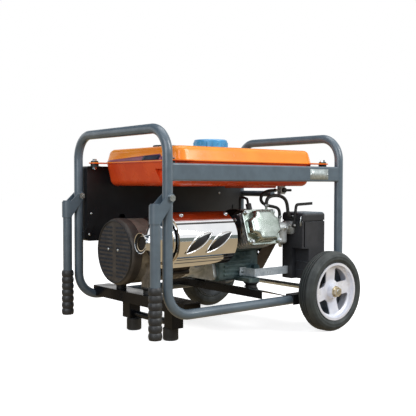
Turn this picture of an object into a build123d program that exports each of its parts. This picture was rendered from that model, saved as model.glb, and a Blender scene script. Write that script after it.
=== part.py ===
from build123d import *
import os
from math import asin, cos, degrees, pi, radians, sin, sqrt, tan

# Portable generator on two wheels: an open tube frame, an inclined single-cylinder engine with its alternator, and a tank on top.
# Millimetres. +Z is up, -X is the handle and alternator end, +X the wheel end, -Y the muffler side, +Y the control panel side.
# The origin is on the floor under the middle of the whole object. Places along X are measured from the frame's middle, frame_x.

os.makedirs("parts", exist_ok=True)

# Frame tubes
tube_d = 28
tube_wall = 2
frame_length = 690
frame_width = 480
rail_z = 100
hoop_top_z = 607
bend_r = 72
weld_gap = 0.2
upper_rail_h = 48
upper_rail_t = 20
upper_rail_r = 5
upper_rail_top_z = 512.5
guide_bar_d = 21
guide_bar_z = 422
guide_bar_end_y = 66

# Wheels and axle
wheel_d = 248
tyre_w = 59
rim_d = 172
rim_w = 52
wheel_reach = 238
wheel_track = 600
hub_d = 44
hub_in = 36
hub_out = 22
window_count = 4
window_start = -8
spoke_w = 40
axle_d = 16
run_gap = 0.06
nut_t = 10
washer_d = 34
washer_t = 2.5
bracket_wall = 3
bracket_length = 118

# Folding handles
handle_reach = 40
pivot_z = 419
pivot_d = 10
bracket_t = 2.5
bracket_gap = 0.35
collar_h = 50
collar_drop = 18
ear_r = 13
grip_d = 38
grip_root_d = 33
grip_length = 139
grip_bottom_z = 45
grip_rings = 7

# Foot stand
foot_x = -230
foot_y = 97
foot_d = 46
foot_h = 38
leg_y = 112
leg_w = 44
leg_depth = 40
leg_wall = 3
stand_bar_d = 20

# Cross members
sheet_t = 3
rear_member_x = -262
rear_member_w = 60
rear_member_h = 33
rear_member_z = 97
front_member_x = 0
front_member_w = 106
front_member_h = 24

# Fuel tank
tank_length = 566
tank_width = 400
tank_corner_r = 44
tank_wall = 1.6
seam_z = 522
seam_lip = 4
seam_t = 2
lower_h = 72
lower_taper = 12
lower_edge_r = 22
upper_h = 43
upper_taper = 15
upper_edge_r = 19
sump_l = 120
sump_w = 150
sump_h = 6
sump_x = 110
sump_y = -70
tank_ear_x = 308
tank_ear_y = 203
tank_ear_w = 36
ear_hole_d = 16
grommet_d = 26
grommet_lip = 4
bolt_d = 8
bolt_head_af = 13
bolt_head_h = 5.5
tab_t = 3
tab_w = 36
neck_d = 88
neck_h = 9
neck_wall = 3
cap_d = 112
cap_h = 30
cap_lift = 3
cap_scallops = 20
gauge_x = -180
gauge_d = 74
gauge_h = 9
gauge_flange = 8
gauge_stem = 14
scallop_r = 5
cap_gap = 0.4

# Control box on the far side
box_back_y = 214
box_depth = 38
box_wall = 1.6
box_bottom_z = 275
box_right_gap = 9
box_left_gap = 2
panel_t = 2
panel_gap = 0.2
box_r = 8
cable_hole_d = 24
socket_xs = (-150, -60)
socket_body = 58
socket_flange = 74
socket_rise = 6
socket_depth = 28
meter_x = 40
meter_d = 46
breaker_x = 130
breaker_d = 10
switch_x = 220
switch_shaft_d = 8
switch_d = 34
stud_x = 290
stud_d = 8
stud_l = 18
brace_t = 3
brace_w = 20
brace_low_z = 284
brace_high_z = 380
brace_reach = 52

# Crank axis and engine
crank_y = 45
crank_z = 254
cylinder_tilt = 18
block_x = -25
block_length = 163
block_bottom_z = 150
shaft_d = 28
head_x = 64
fin_t = 4
fin_pitch = 9.5
barrel_start = 128
head_start = 166
head_length = 58
head_fin_w = 126
head_fin_h = 106
cover_w = 136
cover_h = 112
cover_flange_t = 5
cover_rise = 32
foot_bar_y = 150
foot_bar_w = 44
foot_bar_t = 12
mount_y = 130
front_mount_x = 60
exhaust_d = 195
intake_d = 200
barrel_fins = 4
head_fins = 6
case_ribs = 5
chamber_d = 124
crank_throw = 27
bore_d = 68
throat_d = 22
plug_x = 60
plug_d = 14
boot_l = 22
breather_x = 90
breather_stub = 16
mount_d = 32

# Alternator, from the engine block towards -X
alternator_d = 196
end_cover_d = 200
front_bell_l = 85
stator_l = 130
rear_bell_l = 60
end_cover_l = 34
stator_bore = 140
air_gap = 1
bell_wall = 7
slot_pitch = 12
slot_h = 6
slot_rows = 13
rear_mount_y = 75
rear_foot_w = 34
bell_flange_t = 12
bell_lug_y = 92
bell_lug_z = 168
bell_window_w = 30
fan_inset = 8
fan_l = 18
fan_blades = 10
stator_slots = 24
cover_wall = 2.5
slot_bar = 9

# Blower housing and recoil starter at the +X end
blower_d = 236
blower_l = 60
blower_wall = 2.5
flywheel_d = 184
flywheel_t = 26
recoil_d = 200
recoil_l = 30
rope_d = 5
rope_rise = 8
rope_length = 176
recoil_grip_l = 64
recoil_grip_h = 16
recoil_grip_t = 14
recoil_vents = 8
flywheel_fins = 14

# Muffler on the near side
muffler_y = -134
muffler_z = 296
muffler_d = 128
muffler_x = -300
muffler_l = 222
guard_d = 160
guard_t = 1.5
guard_x = -284
guard_l = 212
guard_half_angle = 100
tail_d = 46
tail_wall = 3
header_d = 32
dome_h = 11
tail_y = -92
tail_z = 288
tail_l = 35
stud_turn = 80
guard_fold = 11
leaf_starts = (19, 95)
leaf_low = -33
leaf_run = 95
leaf_rise = 54
leaf_w = 23

# Carburettor and air cleaner
carb_d = 38
bowl_d = 40
air_box_x = 212
air_box_l = 104
air_box_y = -214
air_box_w = 106
air_box_z = 150
air_box_h = 186
lid_gap = 4
lid_h = 26
air_box_r = 14
air_wall = 3
notch_h = 100
lid_edge_r = 11
lid_wall = 4
groove_depth = 4
carb_flange_t = 6
bowl_drop = 50
inlet_rise = 12
choke_pin_d = 6
choke_t = 4
choke_stand = 18
lever_rise = 66
lever_reach = 74
strap_t = 3
strap_w = 25
strap_x = 66

# Fuel valve and hoses
valve_x = 182
valve_y = -140
hose_d = 10
breather_d = 11
lead_d = 8
valve_h = 26
valve_w = 20
valve_stem_d = 8
valve_lever_l = 26
spigot_l = 14

tube_r = tube_d / 2
half_w = frame_width / 2
half_l = frame_length / 2
grip_r = grip_d / 2
wheel_r = wheel_d / 2
frame_x = (half_l + handle_reach + grip_r - wheel_reach - wheel_r) / 2
left_x = frame_x - half_l
right_x = frame_x + half_l
axle_x = frame_x + wheel_reach
axle_z = wheel_r
handle_x = left_x - handle_reach

# Two bent hoops, butt welded at the middle of the bottom rails
for side, name in ((-1, "frame_left_hoop"), (1, "frame_right_hoop")):
    post_x = frame_x + side * half_l
    with BuildPart() as hoop:
        with BuildLine():
            FilletPolyline(
                (frame_x, -half_w, rail_z),
                (post_x, -half_w, rail_z),
                (post_x, -half_w, hoop_top_z),
                (post_x, half_w, hoop_top_z),
                (post_x, half_w, rail_z),
                (frame_x, half_w, rail_z),
                radius=bend_r,
            )
        with BuildSketch(Plane((frame_x, -half_w, rail_z), z_dir=(side, 0, 0))):
            Circle(tube_r)
            Circle(tube_r - tube_wall, mode=Mode.SUBTRACT)
        sweep()
        if side < 0:
            # Holes for the handle pivots
            with Locations((post_x, 0, pivot_z)):
                Cylinder(pivot_d / 2 + run_gap, frame_width + 2 * tube_d, rotation=(90, 0, 0), mode=Mode.SUBTRACT)
        else:
            # Short bar welded to the far post
            with BuildSketch(Plane((post_x, half_w - tube_r / 2, guide_bar_z), z_dir=(0, -1, 0))):
                Circle(guide_bar_d / 2)
            extrude(amount=half_w - tube_r / 2 - guide_bar_end_y)
            with Locations((post_x, half_w, guide_bar_z)):
                Cylinder(tube_r - tube_wall, 2 * guide_bar_d, mode=Mode.SUBTRACT)
    hoop.part.label = name
    export_step(hoop.part, f"parts/{name}.step")

# Flat upper rail between the near posts, coped to the tubes
with BuildPart() as upper_rail:
    with BuildSketch(Plane.YZ.offset(left_x)):
        with Locations((-half_w, upper_rail_top_z - upper_rail_h / 2)):
            RectangleRounded(upper_rail_t, upper_rail_h, upper_rail_r)
            RectangleRounded(
                upper_rail_t - 2 * tube_wall,
                upper_rail_h - 2 * tube_wall,
                upper_rail_r - tube_wall,
                mode=Mode.SUBTRACT,
            )
    extrude(amount=frame_length)
    with Locations((left_x, -half_w, upper_rail_top_z), (right_x, -half_w, upper_rail_top_z)):
        Cylinder(tube_r + weld_gap, 3 * upper_rail_h, mode=Mode.SUBTRACT)
upper_rail.part.label = "upper_rail"
export_step(upper_rail.part, "parts/upper_rail.step")

# Rear cross member, a channel between the bottom rails under the alternator
rear_member_top_z = rear_member_z + rear_member_h
with BuildPart() as alternator_cross_member:
    with BuildSketch(Plane.XZ.offset(-half_w)):
        with BuildLine():
            member_line = Polyline(
                (frame_x + rear_member_x - rear_member_w / 2, rear_member_z),
                (frame_x + rear_member_x - rear_member_w / 2, rear_member_top_z),
                (frame_x + rear_member_x + rear_member_w / 2, rear_member_top_z),
                (frame_x + rear_member_x + rear_member_w / 2, rear_member_z),
            )
            offset(member_line, amount=sheet_t, side=Side.RIGHT)
        make_face()
    extrude(amount=frame_width)
    # Coped to the bottom rails, which start to bend upwards here
    for rail_side in (-1, 1):
        with BuildLine():
            FilletPolyline(
                (frame_x, rail_side * half_w, rail_z),
                (left_x, rail_side * half_w, rail_z),
                (left_x, rail_side * half_w, hoop_top_z - bend_r),
                radius=bend_r,
            )
        with BuildSketch(Plane((frame_x, rail_side * half_w, rail_z), z_dir=(-1, 0, 0))):
            Circle(tube_r + weld_gap)
        sweep(mode=Mode.SUBTRACT)
alternator_cross_member.part.label = "alternator_cross_member"
export_step(alternator_cross_member.part, "parts/alternator_cross_member.step")

# Front cross member on top of the rails: one upright wall and a sloping seat for the engine mounts
front_member_z = rail_z + tube_r + weld_gap
front_member_ridge = 14
front_member_top_z = front_member_z + front_member_h
front_slope = front_member_h / (front_member_w - front_member_ridge)
with BuildPart() as engine_cross_member:
    with BuildSketch(Plane.XZ.offset(-half_w)):
        with BuildLine():
            wedge_line = Polyline(
                (frame_x + front_member_x, front_member_z),
                (frame_x + front_member_x, front_member_top_z),
                (frame_x + front_member_x + front_member_ridge, front_member_top_z),
                (frame_x + front_member_x + front_member_w, front_member_z),
            )
            offset(wedge_line, amount=sheet_t, side=Side.RIGHT)
        make_face()
    extrude(amount=frame_width)
    with Locations((frame_x, 0, front_member_z)):
        Box(4 * front_member_w, 2 * frame_width, front_member_h, align=(Align.CENTER, Align.CENTER, Align.MAX),
            mode=Mode.SUBTRACT)
engine_cross_member.part.label = "engine_cross_member"
export_step(engine_cross_member.part, "parts/engine_cross_member.step")

# Foot stand: two channel legs and a bar between them
stand_x = frame_x + foot_x
stand_bar_z = foot_h + leg_wall + stand_bar_d / 2
with BuildPart() as foot_stand:
    for leg_side in (-1, 1):
        with BuildSketch(Plane.XY.offset(foot_h)):
            with Locations((stand_x, leg_side * leg_y)):
                RectangleRounded(leg_depth, leg_w, leg_wall)
        extrude(amount=rear_member_z - foot_h)
        with Locations((stand_x + leg_wall, leg_side * leg_y, foot_h + leg_wall)):
            Box(leg_depth, leg_w - 2 * leg_wall, rear_member_z - foot_h, mode=Mode.SUBTRACT,
                align=(Align.CENTER, Align.CENTER, Align.MIN))
    with BuildSketch(Plane((stand_x, leg_w / 2 - leg_y, stand_bar_z), z_dir=(0, 1, 0))):
        Circle(stand_bar_d / 2)
    extrude(amount=2 * leg_y - leg_w, mode=Mode.ADD)
foot_stand.part.label = "foot_stand"
export_step(foot_stand.part, "parts/foot_stand.step")

# Rubber feet
with BuildPart() as foot_pads:
    with Locations((stand_x, -foot_y, 0), (stand_x, foot_y, 0)):
        Cylinder(foot_d / 2, foot_h, align=(Align.CENTER, Align.CENTER, Align.MIN))
    chamfer(foot_pads.edges().filter_by(GeomType.CIRCLE), 3)
foot_pads.part.label = "foot_pads"
export_step(foot_pads.part, "parts/foot_pads.step")

# Axle with a saddle bracket on each bottom rail
hub_end_y = wheel_track / 2 + hub_out
axle_end_y = hub_end_y + washer_t + nut_t + 1
with BuildPart() as axle:
    with BuildSketch(Plane((axle_x, -axle_end_y, axle_z), z_dir=(0, 1, 0))):
        Circle(axle_d / 2)
    extrude(amount=2 * axle_end_y)
    chamfer(axle.edges().filter_by(GeomType.CIRCLE), 1)
axle.part.label = "axle"
export_step(axle.part, "parts/axle.step")

bracket_half_w = tube_r + bracket_wall
bracket_top_z = rail_z + tube_r + bracket_wall
with BuildPart() as axle_brackets:
    for rail_side in (-1, 1):
        with BuildSketch(Plane.XZ.offset(bracket_half_w - rail_side * half_w)):
            with BuildLine():
                Polyline(
                    (axle_x - bracket_length, rail_z - tube_r),
                    (axle_x + axle_d + bracket_wall, rail_z - tube_r),
                    (axle_x + axle_d + bracket_wall, bracket_top_z),
                    (axle_x + axle_d / 2 + bracket_wall, axle_z + axle_d / 2),
                    (axle_x - axle_d / 2 - bracket_wall, axle_z + axle_d / 2),
                    (axle_x - 2 * axle_d, bracket_top_z),
                    (axle_x - bracket_length, bracket_top_z),
                    close=True,
                )
            make_face()
        extrude(amount=-2 * bracket_half_w)
        with Locations((axle_x, rail_side * half_w, rail_z)):
            Cylinder(tube_r + weld_gap, 4 * bracket_length, rotation=(0, 90, 0), mode=Mode.SUBTRACT)
            Box(4 * bracket_length, 2 * (tube_r + weld_gap), tube_d, mode=Mode.SUBTRACT,
                align=(Align.CENTER, Align.CENTER, Align.MAX))
        with Locations((axle_x, rail_side * half_w, axle_z)):
            Cylinder(axle_d / 2 + run_gap, 4 * bracket_half_w, rotation=(90, 0, 0), mode=Mode.SUBTRACT)
axle_brackets.part.label = "axle_brackets"
export_step(axle_brackets.part, "parts/axle_brackets.step")

# Washer and nut on each end of the axle
with BuildPart() as axle_nuts:
    for end_side in (-1, 1):
        with BuildSketch(Plane((axle_x, end_side * (hub_end_y + weld_gap), axle_z), z_dir=(0, end_side, 0))):
            Circle(washer_d / 2)
            Circle(axle_d / 2 + run_gap, mode=Mode.SUBTRACT)
        extrude(amount=washer_t)
        nut_y = end_side * (hub_end_y + weld_gap + washer_t)
        with BuildSketch(Plane((axle_x, nut_y, axle_z), z_dir=(0, end_side, 0))):
            RegularPolygon(axle_d * 0.8, 6, major_radius=False)
            Circle(axle_d / 2 + run_gap, mode=Mode.SUBTRACT)
        extrude(amount=nut_t)
axle_nuts.part.label = "axle_nuts"
export_step(axle_nuts.part, "parts/axle_nuts.step")

# Wheels: the near one is made with its outer face towards -Y, and the far one is its mirror image
near_hub = Plane((axle_x, -wheel_track / 2, axle_z), x_dir=(1, 0, 0), z_dir=(0, 0, 1))
wheel_axis = Axis((axle_x, 0, axle_z), (0, 1, 0))
rim_r = rim_d / 2
bead_w = rim_w / 2 - 3
tyre_half = tyre_w / 2
groove = 3
with BuildPart() as near_tyre:
    with BuildSketch(near_hub):
        with BuildLine():
            bead = Line((rim_r + weld_gap, bead_w), (rim_r + weld_gap, -bead_w))
            inner_rise = Line(bead @ 1, (rim_r + 5, -bead_w))
            inner_wall = ThreePointArc(inner_rise @ 1, (rim_r + 20, -tyre_half), (wheel_r - 7, -tyre_half + 5))
            inner_shoulder = Line(inner_wall @ 1, (wheel_r, -tyre_half + 16))
            tread = Line(inner_shoulder @ 1, (wheel_r, tyre_half - 16))
            outer_shoulder = Line(tread @ 1, (wheel_r - 7, tyre_half - 5))
            outer_wall = ThreePointArc(outer_shoulder @ 1, (rim_r + 20, tyre_half), (rim_r + 5, bead_w))
            Line(outer_wall @ 1, bead @ 0)
        make_face()
        with Locations((wheel_r, -8), (wheel_r, 0), (wheel_r, 8)):
            Rectangle(2 * groove, groove, mode=Mode.SUBTRACT)
    revolve(axis=wheel_axis)
near_tyre.part.label = "near_tyre"
export_step(near_tyre.part, "parts/near_tyre.step")

with BuildPart() as far_tyre:
    add(mirror(near_tyre.part, about=Plane.XZ))
far_tyre.part.label = "far_tyre"
export_step(far_tyre.part, "parts/far_tyre.step")

rim_wall = 4
web_out = 7
window_inner_r = hub_d / 2 + 14
window_outer_r = rim_r - rim_wall - 9
with BuildPart() as near_rim:
    with BuildSketch(near_hub):
        with BuildLine():
            # From the hub's inner end round the dish to the barrel and back along the inside
            Polyline(
                (axle_d / 2 + run_gap, hub_in),
                (hub_d / 2, hub_in),
                (hub_d / 2, -web_out + rim_wall),
                (window_inner_r, -web_out + rim_wall + 3),
                (window_outer_r, -web_out + rim_wall - 4),
                (rim_r - rim_wall, -web_out + rim_wall - 4),
                (rim_r - rim_wall, bead_w),
                (rim_r, bead_w),
                (rim_r, -bead_w - weld_gap),
                (rim_r + 3, -bead_w - weld_gap),
                (rim_r + 3, -rim_w / 2),
                (rim_r - rim_wall, -rim_w / 2),
                (rim_r - rim_wall - 3, -web_out - 8),
                (window_outer_r, -web_out - 4),
                (window_inner_r, -web_out + 3),
                (hub_d / 2, -web_out),
                (hub_d / 2 - 4, -hub_out),
                (axle_d / 2 + run_gap, -hub_out),
                close=True,
            )
        make_face()
    revolve(axis=wheel_axis)
    with BuildSketch(Plane((axle_x, -wheel_track / 2 - rim_w, axle_z), x_dir=(1, 0, 0), z_dir=(0, 1, 0))) as window:
        Circle(window_outer_r)
        Circle(window_inner_r, mode=Mode.SUBTRACT)
        with PolarLocations(0, window_count, start_angle=window_start):
            Rectangle(wheel_d, spoke_w, align=(Align.MIN, Align.CENTER), mode=Mode.SUBTRACT)
        fillet(window.vertices(), 5)
    extrude(amount=2 * rim_w, mode=Mode.SUBTRACT)
near_rim.part.label = "near_rim"
export_step(near_rim.part, "parts/near_rim.step")

with BuildPart() as far_rim:
    add(mirror(near_rim.part, about=Plane.XZ))
far_rim.part.label = "far_rim"
export_step(far_rim.part, "parts/far_rim.step")

# Handles: a tube in a stamped U bracket that straddles the post and turns on the pivot bolt
arm_top_z = pivot_z - tube_r - 0.5
collar_top_z = pivot_z - collar_drop
collar_bottom_z = collar_top_z - collar_h
bracket_in = tube_r + bracket_gap
bracket_out = bracket_in + bracket_t
with BuildPart() as near_handle:
    with BuildSketch(Plane.XY.offset(collar_bottom_z)):
        with Locations((handle_x, -half_w)):
            Circle(bracket_out)
            Rectangle(handle_reach + 2 * ear_r, 2 * bracket_out, align=(Align.MIN, Align.CENTER))
            Circle(bracket_in, mode=Mode.SUBTRACT)
            Rectangle(handle_reach + 3 * ear_r, 2 * bracket_in, align=(Align.MIN, Align.CENTER), mode=Mode.SUBTRACT)
    extrude(amount=pivot_z + ear_r - collar_bottom_z)
    with BuildSketch(Plane.XZ.offset(half_w - 2 * bracket_out)) as profile:
        with BuildLine():
            Polyline(
                (handle_x - bracket_out - 1, collar_bottom_z),
                (handle_x + 4, collar_bottom_z),
                (left_x + ear_r * 0.94, pivot_z - ear_r * 0.34),
                (left_x, pivot_z),
                (left_x - ear_r * 0.5, pivot_z + ear_r * 0.87),
                (handle_x + 2, collar_top_z),
                (handle_x - bracket_out - 1, collar_top_z),
                close=True,
            )
        make_face()
        with Locations((left_x, pivot_z)):
            Circle(ear_r)
    extrude(amount=4 * bracket_out, mode=Mode.INTERSECT)
    with Locations((left_x, -half_w, pivot_z)):
        Cylinder(pivot_d / 2 + run_gap, 4 * bracket_out, rotation=(90, 0, 0), mode=Mode.SUBTRACT)
    with BuildSketch(Plane.XY.offset(grip_bottom_z + 5)):
        with Locations((handle_x, -half_w)):
            Circle(tube_r)
    extrude(amount=arm_top_z - grip_bottom_z - 5)
    # Weld ring that fills the bracket's clearance at the collar
    with BuildSketch(Plane.XY.offset(collar_bottom_z)):
        with Locations((handle_x, -half_w)):
            Circle(bracket_in)
    extrude(amount=collar_h)
    with Locations((handle_x, -half_w, (arm_top_z + grip_bottom_z) / 2)):
        Cylinder(tube_r - tube_wall, arm_top_z - grip_bottom_z - 20, mode=Mode.SUBTRACT)
near_handle.part.label = "near_handle"
export_step(near_handle.part, "parts/near_handle.step")

with BuildPart() as far_handle:
    add(mirror(near_handle.part, about=Plane.XZ))
far_handle.part.label = "far_handle"
export_step(far_handle.part, "parts/far_handle.step")

# Ribbed grips, closed at the bottom
ring_pitch = grip_length / grip_rings
grip_root_r = grip_root_d / 2
with BuildPart() as near_grip:
    with BuildSketch(Plane((handle_x, -half_w, 0), x_dir=(1, 0, 0), z_dir=(0, -1, 0))):
        with BuildLine():
            Line((0, grip_bottom_z), (grip_root_r, grip_bottom_z))
            for ring in range(grip_rings):
                ring_z = grip_bottom_z + ring * ring_pitch
                ThreePointArc(
                    (grip_root_r, ring_z), (grip_r, ring_z + ring_pitch / 2), (grip_root_r, ring_z + ring_pitch)
                )
            Line((grip_root_r, grip_bottom_z + grip_length), (tube_r + run_gap, grip_bottom_z + grip_length))
            Line((tube_r + run_gap, grip_bottom_z + grip_length), (tube_r + run_gap, grip_bottom_z + 5))
            Line((tube_r + run_gap, grip_bottom_z + 5), (0, grip_bottom_z + 5))
            Line((0, grip_bottom_z + 5), (0, grip_bottom_z))
        make_face()
    revolve(axis=Axis((handle_x, -half_w, 0), (0, 0, 1)))
near_grip.part.label = "near_grip"
export_step(near_grip.part, "parts/near_grip.step")

with BuildPart() as far_grip:
    add(mirror(near_grip.part, about=Plane.XZ))
far_grip.part.label = "far_grip"
export_step(far_grip.part, "parts/far_grip.step")

# Pivot bolts with head and nut
pivot_head_t = 7
with BuildPart() as handle_pivots:
    for post_side in (-1, 1):
        shank_y = post_side * half_w - bracket_out - weld_gap
        with BuildSketch(Plane((left_x, shank_y, pivot_z), z_dir=(0, 1, 0))):
            Circle(pivot_d / 2)
        extrude(amount=2 * bracket_out + 2 * weld_gap)
        for end_side in (-1, 1):
            head_y = post_side * half_w + end_side * (bracket_out + weld_gap)
            with BuildSketch(Plane((left_x, head_y, pivot_z), z_dir=(0, end_side, 0))):
                RegularPolygon(pivot_d * 0.85, 6, major_radius=False)
            extrude(amount=pivot_head_t)
handle_pivots.part.label = "handle_pivots"
export_step(handle_pivots.part, "parts/handle_pivots.step")

# Outline of the seam lip with its four ears, shared by both tank halves
ear_places = [(frame_x + sx * tank_ear_x, sy * tank_ear_y) for sx in (-1, 1) for sy in (-1, 1)]
with BuildSketch() as seam_outline:
    for ear_side in (-1, 1):
        with Locations((frame_x + ear_side * (tank_length / 2 - tank_corner_r), 0)):
            Rectangle(
                tank_ear_x - tank_length / 2 + tank_corner_r,
                2 * tank_ear_y + tank_ear_w,
                align=(Align.MIN if ear_side > 0 else Align.MAX, Align.CENTER),
            )
    with Locations(*ear_places):
        Circle(tank_ear_w / 2)
    # Between the ears the lip follows the tank's end
    with Locations((frame_x, 0)):
        Rectangle(4 * tank_ear_x, 2 * tank_ear_y - tank_ear_w, mode=Mode.SUBTRACT)
        RectangleRounded(tank_length + 2 * seam_lip, tank_width + 2 * seam_lip, tank_corner_r + seam_lip)
    with Locations(*ear_places):
        Circle(ear_hole_d / 2, mode=Mode.SUBTRACT)

# Fuel tank, lower half: tapered pressing with a seam lip, four ears, a sump and a recess in its handle end
tank_plane_down = Plane((frame_x, 0, seam_z - seam_t), x_dir=(1, 0, 0), z_dir=(0, 0, -1))
recess_depth = 7
recess_top_z = seam_z - 22
recess_end_x = frame_x - tank_length / 2


def recess(grow):
    with BuildPart() as pocket:
        with BuildSketch(Plane.YZ.offset(recess_end_x - 1)):
            with BuildLine():
                Polyline(
                    (-tank_width, recess_top_z + grow),
                    (-tank_width * 0.22 + grow, recess_top_z + grow),
                    (-tank_width * 0.28 + grow, seam_z - lower_h - grow),
                    (-tank_width, seam_z - lower_h - grow),
                    close=True,
                )
            make_face()
        extrude(amount=recess_depth + grow + (recess_top_z - seam_z + lower_h) * tan(radians(lower_taper)))
    return pocket.part


with BuildPart() as tank_lower_inside:
    with BuildSketch(tank_plane_down):
        RectangleRounded(tank_length - 2 * tank_wall, tank_width - 2 * tank_wall, tank_corner_r - tank_wall)
    extrude(amount=lower_h - seam_t - tank_wall, taper=lower_taper)
    inside_bottom = tank_lower_inside.faces().sort_by(Axis.Z)[0]
    fillet(inside_bottom.edges(), lower_edge_r - tank_wall)
    add(recess(tank_wall), mode=Mode.SUBTRACT)

with BuildPart() as fuel_tank_lower:
    with BuildSketch(tank_plane_down):
        RectangleRounded(tank_length, tank_width, tank_corner_r)
    extrude(amount=lower_h - seam_t, taper=lower_taper)
    fillet(fuel_tank_lower.faces().sort_by(Axis.Z)[0].edges(), lower_edge_r)
    with BuildSketch(Plane((frame_x + sump_x, sump_y, seam_z - lower_h + 1), x_dir=(1, 0, 0), z_dir=(0, 0, -1))):
        RectangleRounded(sump_l, sump_w, 25)
    extrude(amount=sump_h + 1, taper=25)
    add(recess(0), mode=Mode.SUBTRACT)
    with BuildSketch(Plane.XY.offset(seam_z - seam_t)):
        add(seam_outline.sketch)
    extrude(amount=seam_t)
    add(tank_lower_inside.part, mode=Mode.SUBTRACT)
    with BuildSketch(Plane.XY.offset(seam_z - seam_t)):
        with Locations((frame_x, 0)):
            RectangleRounded(tank_length - 2 * tank_wall, tank_width - 2 * tank_wall, tank_corner_r - tank_wall)
    extrude(amount=seam_t, mode=Mode.SUBTRACT)
fuel_tank_lower.part.label = "fuel_tank_lower"
export_step(fuel_tank_lower.part, "parts/fuel_tank_lower.step")

# Fuel tank, upper half, with the filler neck and the gauge hole
tank_top_z = seam_z + upper_h
neck_r = neck_d / 2
with BuildPart() as fuel_tank_upper:
    with BuildSketch(Plane.XY.offset(seam_z)):
        with Locations((frame_x, 0)):
            RectangleRounded(tank_length, tank_width, tank_corner_r)
    extrude(amount=upper_h, taper=upper_taper)
    fillet(fuel_tank_upper.faces().sort_by(Axis.Z)[-1].edges(), upper_edge_r)
    with BuildSketch(Plane.XY.offset(seam_z)):
        add(seam_outline.sketch)
    extrude(amount=seam_t)
    with Locations((frame_x, 0, tank_top_z - tank_wall)):
        Cylinder(neck_r, neck_h + tank_wall, align=(Align.CENTER, Align.CENTER, Align.MIN))
    with BuildPart(mode=Mode.PRIVATE) as tank_upper_inside:
        with BuildSketch(Plane.XY.offset(seam_z)):
            with Locations((frame_x, 0)):
                RectangleRounded(tank_length - 2 * tank_wall, tank_width - 2 * tank_wall, tank_corner_r - tank_wall)
        extrude(amount=upper_h - tank_wall, taper=upper_taper)
        fillet(tank_upper_inside.faces().sort_by(Axis.Z)[-1].edges(), upper_edge_r - tank_wall)
    add(tank_upper_inside.part, mode=Mode.SUBTRACT)
    with Locations((frame_x, 0, seam_z + upper_h / 2)):
        Cylinder(neck_r - neck_wall, 2 * upper_h, mode=Mode.SUBTRACT)
    with Locations((frame_x + gauge_x, 0, seam_z + upper_h)):
        Cylinder(gauge_d / 2 - gauge_flange + 1, upper_h, mode=Mode.SUBTRACT)
fuel_tank_upper.part.label = "fuel_tank_upper"
export_step(fuel_tank_upper.part, "parts/fuel_tank_upper.step")

# Fuel gauge: flange on the tank's top and a stem through its hole
with BuildPart() as fuel_gauge:
    with Locations((frame_x + gauge_x, 0, tank_top_z + weld_gap)):
        Cylinder(gauge_d / 2, gauge_h, align=(Align.CENTER, Align.CENTER, Align.MIN))
    fillet(fuel_gauge.faces().sort_by(Axis.Z)[-1].edges(), 3)
    with Locations((frame_x + gauge_x, 0, tank_top_z + gauge_h + weld_gap)):
        Cylinder(gauge_d / 2 - gauge_flange, 1.5, mode=Mode.SUBTRACT)
    with Locations((frame_x + gauge_x, 0, tank_top_z + gauge_h / 2)):
        Cylinder(gauge_d / 2 - gauge_flange, gauge_h / 2 + gauge_stem, align=(Align.CENTER, Align.CENTER, Align.MAX))
fuel_gauge.part.label = "fuel_gauge"
export_step(fuel_gauge.part, "parts/fuel_gauge.step")

# Fuel cap: scalloped skirt round the neck and a plug inside it
cap_r = cap_d / 2
cap_bottom_z = tank_top_z + cap_lift
cap_crown = 9
with BuildPart() as fuel_cap:
    with BuildSketch(Plane.XY.offset(cap_bottom_z)):
        with Locations((frame_x, 0)):
            Circle(cap_r)
        with Locations((frame_x, 0)):
            with PolarLocations(cap_r + scallop_r / 2, cap_scallops):
                Circle(scallop_r, mode=Mode.SUBTRACT)
    extrude(amount=cap_h - cap_crown)
    with Locations((frame_x, 0, cap_bottom_z + cap_h - cap_crown)):
        Cylinder(cap_r - scallop_r / 2, cap_crown, align=(Align.CENTER, Align.CENTER, Align.MIN))
    fillet(fuel_cap.faces().sort_by(Axis.Z)[-1].edges(), cap_crown * 0.6)
    with BuildSketch(Plane.XY.offset(cap_bottom_z)):
        with Locations((frame_x, 0)):
            Circle(neck_r + cap_gap)
            Circle(neck_r - neck_wall - cap_gap, mode=Mode.SUBTRACT)
    extrude(amount=neck_h - cap_lift + cap_gap, mode=Mode.SUBTRACT)
fuel_cap.part.label = "fuel_cap"
export_step(fuel_cap.part, "parts/fuel_cap.step")

# Tabs that carry the tank: the near pair on the upper rail, the far pair on the back of the control box
tab_root_y = half_w - upper_rail_t / 2 - weld_gap
far_tab_root_y = box_back_y - weld_gap
with BuildPart() as tank_tabs:
    with BuildSketch(Plane.XY.offset(upper_rail_top_z - tab_t)):
        with Locations(*ear_places):
            Circle(tab_w / 2)
        with Locations((frame_x - tank_ear_x, -tank_ear_y), (frame_x + tank_ear_x, -tank_ear_y)):
            Rectangle(tab_w, tab_root_y - tank_ear_y, align=(Align.CENTER, Align.MAX))
        with Locations((frame_x - tank_ear_x, tank_ear_y), (frame_x + tank_ear_x, tank_ear_y)):
            Rectangle(tab_w, tab_w, align=(Align.CENTER, Align.MIN))
        with Locations((frame_x, far_tab_root_y)):
            Rectangle(4 * tank_ear_x, 4 * tab_w, align=(Align.CENTER, Align.MIN), mode=Mode.SUBTRACT)
        with Locations(*ear_places):
            Circle(bolt_d / 2 + 0.5, mode=Mode.SUBTRACT)
    extrude(amount=tab_t)
tank_tabs.part.label = "tank_tabs"
export_step(tank_tabs.part, "parts/tank_tabs.step")

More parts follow.
